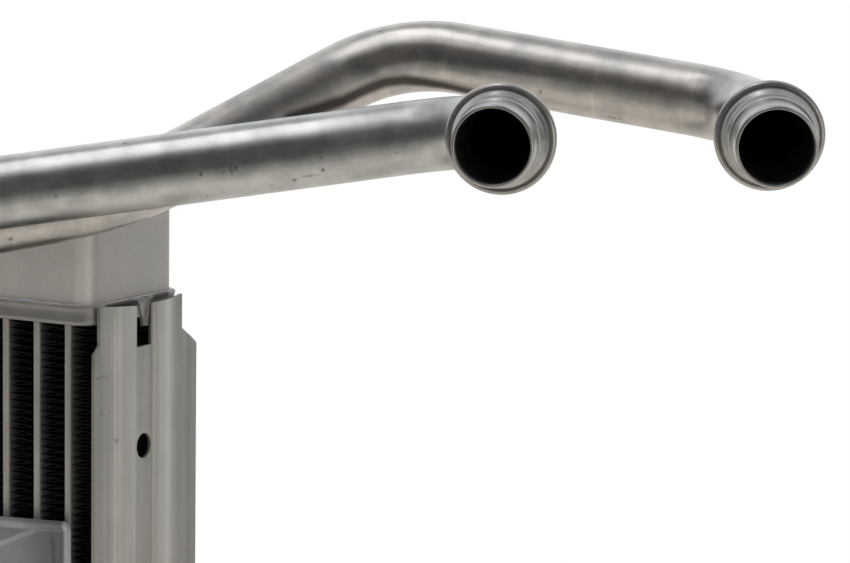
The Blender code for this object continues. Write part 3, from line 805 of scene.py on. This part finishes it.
def formed_pipe(name, plan):
    """A bent pipe with its stop at the tank and its formed hose end, bored through."""
    low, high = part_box("top_tank")
    port = Vector((DATUM.x + plan["port"], low.y, (low.z + high.z) / 2))
    path, ahead = pipe_path(port, plan)
    stop = [(port - Vector((0, FIT + drop * MM, 0)), PIPE_RADIUS + rise * MM) for drop, rise in STOP_PROFILE]
    start = [(path[0], PIPE_RADIUS)] + stop
    outside = start + [(p, PIPE_RADIUS) for p in path[1:-1]]
    outside += [(path[-1] + ahead * reach * MM, radius * MM) for reach, radius in END_OUTSIDE]
    bore = [(path[-1] + ahead * reach * MM, radius * MM) for reach, radius in END_INSIDE]
    bore += [(p, PIPE_BORE) for p in path[-2:0:-1]] + [(path[0], PIPE_BORE)]
    centres = [centre for centre, _ in start] + path[1:-1]
    frames, end = pipe_frames(centres, ahead)
    frames += [end] * (len(END_OUTSIDE) + len(END_INSIDE))
    frames += frames[len(centres) - 1:len(start) - 1:-1] + [frames[0]]
    rings = []
    for (centre, radius), (side, up) in zip(outside + bore, frames):
        rings.append([centre + radius * (c * side + s * up) for c, s in circle(PIPE_SIDES)])
    ob = loft(name, rings, closed=True, sharp=60.0)
    straighten(ob, outside + bore)
    first_formed = len(outside) - len(END_OUTSIDE)
    first_dark = len(outside) + BRIGHT_BORE_RINGS
    for face in ob.data.polygons:
        ring = min(v // PIPE_SIDES for v in face.vertices)
        face.material_index = BORE_SLOT if ring >= first_dark else END_SLOT if ring >= first_formed else 0
    return ob


def surface_marks(camera, ob, scuffs):
    """Places of the scuffs on a piece, with their half lengths and widths in metres."""
    marks = []
    for x, y, length, width in scuffs:
        point = seen_point(camera, ob, (x, y))
        if point is not None:
            marks.append((point, length * MM, width * MM))
    return marks


def surface_bands(camera, ob, bands):
    """Dark bands of painted shade on a piece, each as its points and half widths in metres."""
    found = []
    for inner, outer, strength, *pixels in bands:
        points = [seen_point(camera, ob, pixel) for pixel in pixels]
        found.append(([point for point in points if point is not None], inner * MM, outer * MM, strength))
    return found


def pipe_distance(camera, ob, pixel):
    """How far along a pipe the point lies that shows at a pixel."""
    point = seen_point(camera, ob, pixel)
    nearest = min(ob.data.vertices, key=lambda v: (v.co - point).length)
    return ob.data.attributes[STRAIGHTENED].data[nearest.index].vector.x


def ring_places(camera, ob, rings):
    """Rings with their distances along a pipe, from the pixels at which they show."""
    return [(pipe_distance(camera, ob, (x, y)), width * MM, strength) for x, y, width, strength in rings]


def dull_places(camera, ob, stretches):
    """Duller stretches with their distances along a pipe."""
    places = []
    for start, end, rise in stretches:
        first, last = sorted((pipe_distance(camera, ob, start), pipe_distance(camera, ob, end)))
        places.append((first, last, rise))
    return places


def dress_pipe(camera, ob, cad_node, colour, tint, scuffs, way, dull, rings=(), bands=()):
    """Drawn metal on the pipe, turned metal on its hose end and painted shade, near black, in its bore."""
    drawn = aluminium(
        ob.name + "_drawn", colour, 0.295, grain=(0.02, 1.0, 1.0), tint=tint, patch=150.0, spots=0.7,
        relief=0.16, marks=surface_marks(camera, ob, scuffs), lengthways=way, coordinates=STRAIGHTENED,
        streaks=0.6, rings=ring_places(camera, ob, rings), metal=1.0, cloudy=0.19, waves=0.16 * MM,
        bands=surface_bands(camera, ob, bands), dull=dull_places(camera, ob, dull), uneven=0.035)
    bore = plain_metal(ob.name + "_bore", BORE_SHADE_COLOUR, 0.7)
    end = aluminium(
        ob.name + "_end", END_COLOUR, 0.32, grain=(1.6, 0.04, 0.04), patch=200.0, relief=0.3,
        coordinates=STRAIGHTENED, streaks=1.6, metal=0.95, cloudy=0.16, waves=0.07 * MM, uneven=0.06)
    indices = [face.material_index for face in ob.data.polygons]
    dress(ob, cad_node, drawn, cad_node)
    ob.data.materials.append(bore)
    ob.data.materials.append(end)
    ob.data.polygons.foreach_set("material_index", indices)


def flat_tubes(material):
    """Flat tubes with round noses, open at both ends."""
    for name in nodes_named("flat_tube"):
        low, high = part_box(name)
        thick, deep = high.x - low.x, high.y - low.y
        outer = rounded_outline(thick, deep, thick / 2, NOSE_STEPS)
        bore, bore_deep = thick - 2 * TUBE_WALL, deep - 2 * TUBE_WALL
        inner = rounded_outline(bore, bore_deep, thick / 2 - TUBE_WALL, NOSE_STEPS)
        middle = (low + high) / 2
        levels = ((outer, low.z), (outer, high.z), (inner, high.z), (inner, low.z))
        rings = [level_ring(outline, middle, z) for outline, z in levels]
        dress(loft(name + "_drawn", rings, closed=True, sharp=60.0), "flat_tube", material, name)


def fold_line(low, high):
    """Middle line of folded stock, across and up, with a rounded crest at each fold."""
    waves = round((high.z - low.z) / FIN_PITCH)
    swing = (high.x - low.x) / 2 - FIN_SHEET / 2
    middle = (low.x + high.x) / 2
    tall = high.z - low.z - FIN_SHEET
    line = []
    for wave in range(waves):
        for part in HALF_FOLD + tuple(0.5 + part for part in HALF_FOLD):
            x = asin(FOLD_CREST * sin(2 * pi * part)) / asin(FOLD_CREST)
            line.append((middle + swing * x, low.z + FIN_SHEET / 2 + tall * (wave + part) / waves))
    line.append((middle, high.z - FIN_SHEET / 2))
    return line


def fin_strips(material):
    """Folded fin stock at its real pitch, with crests that reach both tubes."""
    for name in nodes_named("fin_strip"):
        low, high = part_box(name)
        line = fold_line(low, high)
        rings = []
        for i, (x, z) in enumerate(line):
            before, after = line[max(i - 1, 0)], line[min(i + 1, len(line) - 1)]
            run, climb = after[0] - before[0], after[1] - before[1]
            size = sqrt(run * run + climb * climb)
            dx, dz = -climb / size * FIN_SHEET / 2, run / size * FIN_SHEET / 2
            rings.append([Vector((x - dx, low.y, z - dz)), Vector((x - dx, high.y, z - dz)),
                          Vector((x + dx, high.y, z + dz)), Vector((x + dx, low.y, z + dz))])
        dress(loft(name + "_folded", rings, sharp=60.0), "fin", material, name)


def drawn_tank(name, away, material):
    """A drawn tank with round corners and edges, open towards its header."""
    low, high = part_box(name)
    width, depth, tall = high - low
    face = low.z if away > 0 else high.z
    outer, inner = [(0.0, 0.0)], [(TANK_WALL, 0.0)]
    for step in range(EDGE_STEPS + 1):
        angle = step / EDGE_STEPS * pi / 2
        for levels, wall in ((outer, 0.0), (inner, TANK_WALL)):
            edge = TANK_EDGE - wall
            levels.append((edge * (1 - cos(angle)) + wall, tall - wall - edge * (1 - sin(angle))))
    middle = (low + high) / 2
    rings = []
    for inset, z in outer[::-1] + inner:
        outline = rounded_outline(width - 2 * inset, depth - 2 * inset, TANK_CORNER - inset, CORNER_STEPS)
        rings.append(level_ring(outline, middle, face + away * z))
    ob = loft(name + "_drawn", rings)
    if away > 0:
        ports = [port_tool(DATUM.x + plan["port"], low.y, middle.z) for plan in (FRONT_PIPE, REAR_PIPE)]
        combine(ob, joined("ports", ports), "DIFFERENCE")
    return dress(ob, "tank", material, name)


def port_tool(x, front, z):
    """A round bar through the tank's front wall, for the hole that a pipe enters by."""
    radius = PIPE_RADIUS + FIT
    rings = []
    for y in (front - TANK_WALL, front + 2 * TANK_WALL):
        rings.append([Vector((x + radius * c, y, z + radius * s)) for c, s in circle(HOLE_SIDES)])
    return loft("port", rings)


def header_face(away):
    """Low and high corners of the tank that a header closes, and the height of the header's inner face."""
    low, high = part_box("top_tank" if away > 0 else "bottom_tank")
    return low, high, (low.z if away > 0 else high.z) - away * (HEADER_SHEET + FIT)


def slot_tools(face, away):
    """Bars for the slots that the flat tubes pass through."""
    slots = []
    for tube in nodes_named("flat_tube"):
        low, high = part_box(tube)
        thick, deep = high.x - low.x, high.y - low.y
        outline = rounded_outline(thick + 2 * FIT, deep + 2 * FIT, thick / 2 + FIT, SLOT_STEPS)
        levels = [face + away * z for z in (-HEADER_SHEET, 2 * HEADER_SHEET)]
        slots.append(loft("slot", [level_ring(outline, (low + high) / 2, z) for z in levels]))
    return slots


def lipped_header(name, away, material):
    """A pressed header: its lip swells at the foot and at the rim, with a hollow between."""
    low, high, face = header_face(away)
    wide = high.x - low.x + 2 * (FIT + LIP_SHEET)
    deep = high.y - low.y + 2 * (FIT + LIP_SHEET)
    corner = TANK_CORNER + FIT + LIP_SHEET
    rings = []
    for inset, z in LIP_OUTSIDE + LIP_INSIDE:
        x_size, y_size = wide - 2 * inset * MM, deep - 2 * inset * MM
        outline = rounded_outline(x_size, y_size, corner - inset * MM, CORNER_STEPS)
        rings.append(level_ring(outline, Vector(), face + away * z * MM))
    ob = loft(name + "_pressed", rings)
    combine(ob, joined("slots", slot_tools(face, away)), "DIFFERENCE")
    for side in (-1, 1):
        combine(ob, bridge(side, face, away, wide), "UNION")
        combine(ob, header_tab(side, face, away), "UNION")
    return dress(ob, "header", material, name)


def plate_middle():
    """Where the middle of the side plates' groove lies, from front to back."""
    low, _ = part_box("side_plate_right")
    return low.y + PLATE_FRONT


def bridge(side, face, away, wide):
    """The short neck from the header's lip to its tab."""
    half = SLOT_WIDTH / 2 - 2 * FIT
    inner = side * (wide / 2 - LIP_SHEET / 2)
    outer = side * (DATUM.x - PLATE_SHEET / 2)
    middle = plate_middle()
    rings = []
    for x in (inner, outer):
        rings.append([Vector((x, middle + y, face + away * z)) for y, z in
                      ((-half, FIT), (half, FIT), (half, PLATE_LAP - FIT), (-half, PLATE_LAP - FIT))])
    return loft("bridge", rings)


def header_tab(side, face, away):
    """A pointed tab folded down into the slot of a side plate, with a valley along its middle."""
    half = SLOT_WIDTH / 2 - FIT
    levels = ((PLATE_LAP, half, 0.0), (PLATE_LAP / 2, 0.7 * half, 0.6), (0.0, 0.5 * half, 1.0),
              (-TAB_DROP, TAB_POINT / 2, 1.0))
    rings = []
    for z, width, shift in levels:
        across = plate_middle() + shift * TAB_SHIFT
        ring = []
        for line, sheet, valley in ((TAB_LINE, 0.0, 1.0), (TAB_LINE[::-1], PLATE_SHEET, TAB_REAR_VALLEY)):
            for y, dip in line:
                x = DATUM.x - sheet + dip * valley * TAB_VALLEY
                ring.append(Vector((side * x, across + y * width, face + away * z)))
        rings.append(ring)
    return loft("tab", rings)


def spread_round(outline, step):
    """Points round a closed outline, evenly spaced along its straight stretches."""
    spread = []
    for (x, y), (next_x, next_y) in zip(outline, outline[1:] + outline[:1]):
        count = max(1, round(sqrt((next_x - x) ** 2 + (next_y - y) ** 2) / step))
        for k in range(count):
            spread.append(Vector((x + (next_x - x) * k / count, y + (next_y - y) * k / count, 0)))
    return spread


def braze_seam(name, away, material):
    """The uneven bead of braze metal between a tank's wall and its header's lip."""
    low, high, face = header_face(away)
    wide, deep = high.x - low.x + 2 * FIT, high.y - low.y + 2 * FIT
    spread = spread_round(rounded_outline(wide, deep, TANK_CORNER + FIT, CORNER_STEPS), SEAM_STEP)
    rings = []
    for i, point in enumerate(spread):
        way = (spread[(i + 1) % len(spread)] - spread[i - 1]).normalized()
        out = Vector((way.y, -way.x, 0))
        swell = 1.0
        for share, fineness in SEAM_SWELL:
            swell += share * noise.noise(point * fineness)
        lift = SEAM_LIFT * noise.noise(point * SEAM_LIFT_FINENESS + SEAM_LIFT_START)
        centre = Vector((point.x, point.y, face + away * (LIP_HEIGHT + lift - SEAM_SINK)))
        swell *= 1.0 - SEAM_THINNER * abs(out.x)
        up = Vector((0, 0, away))
        rings.append([centre + SEAM_RADIUS * swell * (c * out + s * up) for c, s in circle(SEAM_SIDES)])
    return dress(loft(name, rings, closed=True, sharp=80.0), "header", material)


def plate_section(y, front, rear):
    """Rise of the pressed profile, and dip of the plate's ends, at a distance behind the groove's middle."""
    if y < 0:
        reach, fade, level_to = front, RIDGE_SLOPE, GROOVE_HALF
    else:
        reach, fade, level_to = rear, RIDGE_FADE, GROOVE_HALF + RIDGE_SPAN
    off = abs(y)
    strip = reach - PLATE_EDGE
    dip = PLATE_DIP * min(1.0, max(0.0, (strip - off) / (strip - level_to)))
    if off > strip:
        return -PLATE_EDGE_DROP * (off - strip) / PLATE_EDGE, dip
    near, far = off - GROOVE_HALF, GROOVE_HALF + RIDGE_SPAN - off
    if min(near, far) <= 0:
        return 0.0, dip
    crown = 1 - (2 * near / RIDGE_SPAN - 1) ** 2
    lift = smoothstep(near, 0.0, RIDGE_SLOPE) * smoothstep(far, 0.0, fade)
    return lift * (RIDGE_RISE - RIDGE_CROWN + crown * RIDGE_CROWN), dip


def pressed_plate(name, side, material):
    """A side plate: the pressed profile, with its notches, slots and holes cut out."""
    low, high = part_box(name)
    middle = plate_middle()
    front, rear = middle - low.y, high.y - middle
    outer, inner = [], []
    for k in range(PLATE_COLUMNS + 1):
        y = -front + (front + rear) * k / PLATE_COLUMNS
        rise, dip = plate_section(y, front, rear)
        outer.append((DATUM.x + rise, middle + y, dip))
        inner.append((DATUM.x + rise - PLATE_SHEET, middle + y, dip))
    rings = []
    for k in range(PLATE_ROWS + 1):
        share = k / PLATE_ROWS
        ring = []
        for x, y, dip in outer + inner[::-1]:
            z = (low.z + dip) * (1 - share) + (high.z - dip) * share
            ring.append(Vector((side * x, y, z)))
        rings.append(ring)
    ob = loft(name + "_pressed", rings, sharp=40.0)
    cuts = plate_tool(side, middle, front, rear, low.z + PLATE_LAP, high.z - PLATE_LAP)
    combine(ob, cuts, "DIFFERENCE")
    soften(ob, PLATE_ROUND)
    return dress(ob, "side_plate", material, name)


def plate_tool(side, middle, front, rear, lower, upper):
    """Bars for a side plate's corner notches, tab slots and round holes."""
    notches = ((-front, 1, FRONT_NOTCH, FRONT_CHAMFER), (rear, -1, REAR_NOTCH, REAR_CHAMFER))
    half = SLOT_WIDTH / 2
    shapes = []
    for end, away in ((upper, 1), (lower, -1)):
        tip = end + away * (PLATE_LAP + TOOL_REACH)
        foot = end + away * (PLATE_LAP - NOTCH_LENGTH)
        for edge, inward, notch, chamfer in notches:
            inner, outer = edge + inward * notch, edge - inward * TOOL_REACH
            shoulder = foot - away * chamfer
            shapes.append([(outer, tip), (inner, tip), (inner, foot), (edge, shoulder), (outer, shoulder)])
        bottom = end - away * SLOT_DEPTH
        shapes.append([(-half, tip), (half, tip), (half, bottom), (-half, bottom)])
        centre = end - away * HOLE_FROM_HEADER
        shapes.append([(HOLE_RADIUS * c, centre + HOLE_RADIUS * s) for c, s in circle(HOLE_SIDES)])
    pieces = []
    for shape in shapes:
        rings = []
        for x in (DATUM.x - TOOL_REACH, DATUM.x + TOOL_REACH):
            rings.append([Vector((side * x, middle + y, z)) for y, z in shape])
        pieces.append(loft("cut", rings))
    return joined("plate_cuts", pieces)


def bracket_depth(x, z, wide, tall):
    """How far the pressed face lies behind the rim, at a place measured from the right and top edges."""
    half_x, half_z = wide / 2, tall / 2
    px = abs(x + half_x) - half_x + BRACKET_CORNER
    pz = abs(z + half_z) - half_z + BRACKET_CORNER
    outside = sqrt(max(px, 0.0) ** 2 + max(pz, 0.0) ** 2) + min(max(px, pz), 0.0) - BRACKET_CORNER
    edge = max(0.0, RIM_ROUND + outside)
    depth = RIM_ROUND - sqrt(max(0.0, RIM_ROUND ** 2 - edge ** 2))
    panel = smoothstep(-outside, BRACKET_RIM + RIM_RAMP[0], BRACKET_RIM + RIM_RAMP[1])
    above = z + CREASE_START + BRACKET_RIM - (x + BRACKET_RIM) * tan(radians(CREASE_SLOPE))
    shape = CREASE_DEPTH + max(0.0, above) * tan(radians(FACET_SLOPE))
    shape += PANEL_DROP * smoothstep(-above, 0.0, PANEL_RAMP)
    return depth + panel * shape


def bracket_point(x, z, low, high):
    """The point of the pressed face for a place measured from the right and top edges."""
    wide, tall = high.x - low.x, high.z - low.z
    cx = min(max(x, BRACKET_CORNER - wide), -BRACKET_CORNER)
    cz = min(max(z, BRACKET_CORNER - tall), -BRACKET_CORNER)
    away = Vector((x - cx, z - cz))
    if away.length > BRACKET_CORNER:
        away = away.normalized() * BRACKET_CORNER
    x, z = cx + away.x, cz + away.y
    lift = CORNER_LIFT * max(0.0, 1.0 + x / CORNER_LIFT_REACH) * (1.0 + z / tall)
    return Vector((high.x + x, low.y + bracket_depth(x, z, wide, tall), high.z + z + lift))


def clean(ob):
    """Joins points that fell together and removes faces without area."""
    bm = bmesh.new()
    bm.from_mesh(ob.data)
    bmesh.ops.remove_doubles(bm, verts=bm.verts, dist=0.002 * MM)
    bmesh.ops.dissolve_degenerate(bm, edges=bm.edges, dist=0.001 * MM)
    bm.to_mesh(ob.data)
    bm.free()


def pressed_bracket(material):
    """The bracket: a pressed face on a fine grid, with its edge drawn in to a smaller back."""
    low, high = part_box("front_bracket")
    wide, tall = high.x - low.x, high.z - low.z
    columns, rows = round(wide / BRACKET_CELL), round(tall / BRACKET_CELL)
    points, faces = [], []
    for r in range(rows + 1):
        for c in range(columns + 1):
            points.append(bracket_point(-wide + wide * c / columns, -tall + tall * r / rows, low, high))
    for r in range(rows):
        for c in range(columns):
            k = r * (columns + 1) + c
            faces.append((k, k + 1, k + columns + 2, k + columns + 1))
    edge = list(range(columns)) + [columns + r * (columns + 1) for r in range(rows)]
    edge += [rows * (columns + 1) + c for c in range(columns, 0, -1)]
    edge += [r * (columns + 1) for r in range(rows, 0, -1)]
    first = len(points)
    centre = (low + high) / 2
    inward = Vector((1 - 2 * BRACKET_UNDERCUT / wide, 0.0, 1 - 2 * BRACKET_UNDERCUT / tall))
    points += [Vector((centre.x, high.y, centre.z)) + (points[k] - centre) * inward for k in edge]
    count = len(edge)
    for i in range(count):
        j = (i + 1) % count
        faces.append((edge[j], edge[i], first + i, first + j))
    faces.append(tuple(first + i for i in range(count)))
    ob = mesh_object("front_bracket_pressed", points, faces, 60.0)
    clean(ob)
    return dress(ob, "bracket", material, "front_bracket")


def background(tree, colour):
    return node("ShaderNodeBackground", {"Color": colour, "Strength": 1.0}, tree).outputs[0]


def mixed(factor, first, second):
    return node("ShaderNodeMixShader", {0: factor, 1: first, 2: second}).outputs[0]


def table_material():
    """A pale dull table. The metal sees it dim towards the camera by painted shade, and the camera sees it
    turn white.
    """
    material, tree, shader = new_material("table")
    place = own_place(tree)
    path = node("ShaderNodeLightPath", tree=tree)
    toward = along(place, TO_CAMERA)
    shaded = ranged(toward, FLOOR_SHADE_START, FLOOR_RADIUS, *FLOOR_SHADE)
    shaded = product(shaded, path.outputs["Is Glossy Ray"])
    tone = blended(shaded, shade(FLOOR_COLOUR), shade(WHITE, 0.0))
    feed(shader, {"Roughness": 0.8, "Specular IOR Level": 0.1, "Base Color": tone})
    reach = vector_calc("LENGTH", place, output="Value")
    far = ranged(reach, FLOOR_CLEAR, FLOOR_END * FLOOR_RADIUS)
    far = product(far, path.outputs["Is Camera Ray"])
    white = node("ShaderNodeEmission", {"Color": shade(WHITE), "Strength": 1.0}, tree).outputs[0]
    feed(tree.nodes["Material Output"], {"Surface": mixed(far, shader.outputs[0], white)})
    return material


def make_floor():
    """A round table top just under the part."""
    bm = bmesh.new()
    bmesh.ops.create_circle(bm, cap_ends=True, segments=96, radius=FLOOR_RADIUS)
    mesh = bpy.data.meshes.new("floor")
    bm.to_mesh(mesh)
    bm.free()
    floor = placed("floor", mesh)
    floor.location = (0.0, 0.0, CAD_BOX[0].z - FLOOR_GAP)
    floor.data.materials.append(table_material())


def room_view(way, rise, away):
    """The dark room by the camera, with the table's edge, the ceiling and a side panel in it."""
    room = blended(ranged(rise, *TABLE_EDGE_RISE), shade(DARK_ROOM), shade(TABLE_EDGE))
    overhead = ranged(away, *CEILING_START)
    overhead = product(overhead, ranged(rise, *CEILING_RISE))
    room = blended(overhead, room, shade(CEILING))
    to_panel = along(way, direction(CAMERA_TURN + SIDE_PANEL_WAY[0], SIDE_PANEL_WAY[1]))
    return blended(ranged(to_panel, *SIDE_PANEL_EDGE), room, shade(SIDE_PANEL))


def studio_view(tree):
    """What metal sees: the white backdrop, the room by the camera, a small high panel and a long softbox."""
    way = node("ShaderNodeTexCoord", tree=tree).outputs["Generated"]
    level = vector_calc("NORMALIZE", scaled(way, (1.0, 1.0, 0.0)))
    toward = along(level, TO_CAMERA)
    rise = on_axis(way, "Z")
    away = along(way, -TO_CAMERA)
    dimming = ranged(rise, *BACKDROP_RISE, 1.0, BACKDROP_TOP)
    backdrop = multiplied(BACKDROP, dimming)
    view = blended(ranged(toward, *BACKDROP_EDGE), room_view(way, rise, away), backdrop)
    sideways, depth = HIGH_PANEL_PLACE
    high = CAMERA_RIGHT * sideways - TO_CAMERA * depth
    high.z = sqrt(1.0 - sideways ** 2 - depth ** 2)
    view = blended(ranged(along(way, high), *HIGH_PANEL_EDGE), view, shade(HIGH_PANEL))
    off = calc("ABSOLUTE", calc("SUBTRACT", along(way, CAMERA_RIGHT), SOFTBOX_MIDDLE))
    softbox = product(ranged(rise, *SOFTBOX_RISE), ranged(off, *SOFTBOX_SIDES))
    softbox = product(softbox, ranged(away, *SOFTBOX_FRONT))
    softbox = product(softbox, ranged(away, *SOFTBOX_BACK))
    return blended(softbox, view, shade(SOFTBOX_LIGHT))


def make_world():
    """White behind the part, for the camera and in the metal, with an even light for all dull surfaces."""
    world = bpy.data.worlds.new("studio")
    world.use_nodes = True
    bpy.context.scene.world = world
    tree = world.node_tree
    tree.nodes.clear()
    path = node("ShaderNodeLightPath", tree=tree)
    sees = calc("MAXIMUM", path.outputs["Is Glossy Ray"], path.outputs["Is Transmission Ray"])
    room = background(tree, shade(WHITE, ROOM_LIGHT))
    inner = mixed(sees, room, background(tree, studio_view(tree)))
    outer = mixed(path.outputs["Is Camera Ray"], inner, background(tree, shade(WHITE)))
    node("ShaderNodeOutputWorld", {"Surface": outer})


def make_lamp():
    """A soft lamp for the dull surfaces and the shadow. The metal sees the studio's softbox instead."""
    data = bpy.data.lights.new("soft_lamp", "AREA")
    data.shape = "RECTANGLE"
    data.size, data.size_y = LAMP_SIZE
    data.energy = LAMP_POWER
    lamp = placed("soft_lamp", data)
    right, away, height = LAMP_PLACE
    lamp.location = CAMERA_RIGHT * right - TO_CAMERA * away + Vector((0, 0, height))
    lamp.rotation_euler = (0.0, 0.0, radians(CAMERA_TURN))
    lamp.visible_glossy = False


def tank_material():
    """Drawn sheet with a painted highlight round the tank's right corner and painted shade on its right side.
    """
    material = aluminium("tank_stock", TANK_COLOUR, 0.56, grain=(1.0, 1.0, 0.35), tint=TANK_TINT, patch=55.0,
                         relief=0.1, metal=0.55)
    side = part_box("top_tank")[1].x
    for start, end, factor in TANK_SHADES:
        toned_along(material, "X", side - start * TANK_CORNER, side - end * TANK_CORNER, factor)
    return material


def header_material(camera):
    """Dull sheet with the flux stains of the photograph round the tab, and painted shade in the gap above the
    right side plate and down the tab.
    """
    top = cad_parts["top_header"]
    return aluminium("header_stock", HEADER_COLOUR, 0.52, grain=(0.2, 0.2, 1.0), patch=120.0, relief=0.1,
                     marks=surface_marks(camera, top, HEADER_MARKS), lengthways=(0, 1, 0),
                     bands=surface_bands(camera, top, HEADER_BANDS))


def bracket_material(camera):
    """Bluish sheet that is darker towards the right edge, with a light rim and two lines of painted shade."""
    bands = surface_bands(camera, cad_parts["front_bracket"], BRACKET_BANDS)
    material = aluminium("bracket_stock", BRACKET_COLOUR, 0.5, patch=110.0, relief=0.1, bands=bands)
    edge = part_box("front_bracket")[1].x
    for start, end, factor in BRACKET_SHADES:
        toned_along(material, "X", edge - start, edge - end, factor)
    return material


def plate_material(camera):
    """Rolled sheet with lines along the plate, with painted shade and highlights on the facets of its pressed
    profile.
    """
    marks = surface_marks(camera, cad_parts["side_plate_right"], PLATE_SCUFFS)
    material = aluminium("plate_stock", PLATE_COLOUR, 0.5, grain=(0.5, 0.5, 0.012), patch=60.0, streaks=0.9,
                         wear=0.4, marks=marks, lengthways=(0, 0, 1))
    middle = plate_middle()
    for start, end, factor in PLATE_SHADES:
        toned_along(material, "Y", middle + start, middle + end, factor)
    return material


def dress_core(camera):
    flat_tubes(aluminium("tube_stock", TUBE_COLOUR, 0.55, grain=(1.0, 1.0, 0.03), patch=90.0))
    fin_strips(fin_material())
    tank = tank_material()
    drawn_tank("top_tank", 1, tank)
    drawn_tank("bottom_tank", -1, tank)
    header = header_material(camera)
    lipped_header("top_header", 1, header)
    lipped_header("bottom_header", -1, header)
    braze = aluminium("braze_metal", BRAZE_COLOUR, 0.4, patch=300.0, relief=0.2)
    braze_seam("braze_seam_top", 1, braze)
    braze_seam("braze_seam_bottom", -1, braze)
    pressed_bracket(bracket_material(camera))
    plate = plate_material(camera)
    pressed_plate("side_plate_right", 1, plate)
    pressed_plate("side_plate_left", -1, plate)
    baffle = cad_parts["tank_baffle"]
    baffle.data.materials.clear()
    baffle.data.materials.append(tank)


def straight_way(plan, corner):
    """The way of a pipe's straight stretch after one of its corners."""
    start, end = plan["corners"][corner:corner + 2]
    return (Vector(end) - Vector(start)).normalized()


def dress_pipes(camera):
    front = formed_pipe("front_pipe_formed", FRONT_PIPE)
    rear = formed_pipe("rear_pipe_formed", REAR_PIPE)
    bpy.context.view_layer.update()
    dress_pipe(camera, front, "front_pipe", PIPE_COLOUR, PIPE_TINT, FRONT_SCUFFS,
               straight_way(FRONT_PIPE, 0), FRONT_DULL)
    dress_pipe(camera, rear, "rear_pipe", REAR_PIPE_COLOUR, REAR_PIPE_TINT, REAR_SCUFFS,
               straight_way(REAR_PIPE, 2), REAR_DULL, REAR_RINGS, REAR_BANDS)


bpy.context.scene.view_settings.view_transform = "Standard"
photo_camera = make_camera()
make_world()
make_lamp()
make_floor()
bpy.context.view_layer.update()
dress_pipes(photo_camera)
dress_core(photo_camera)
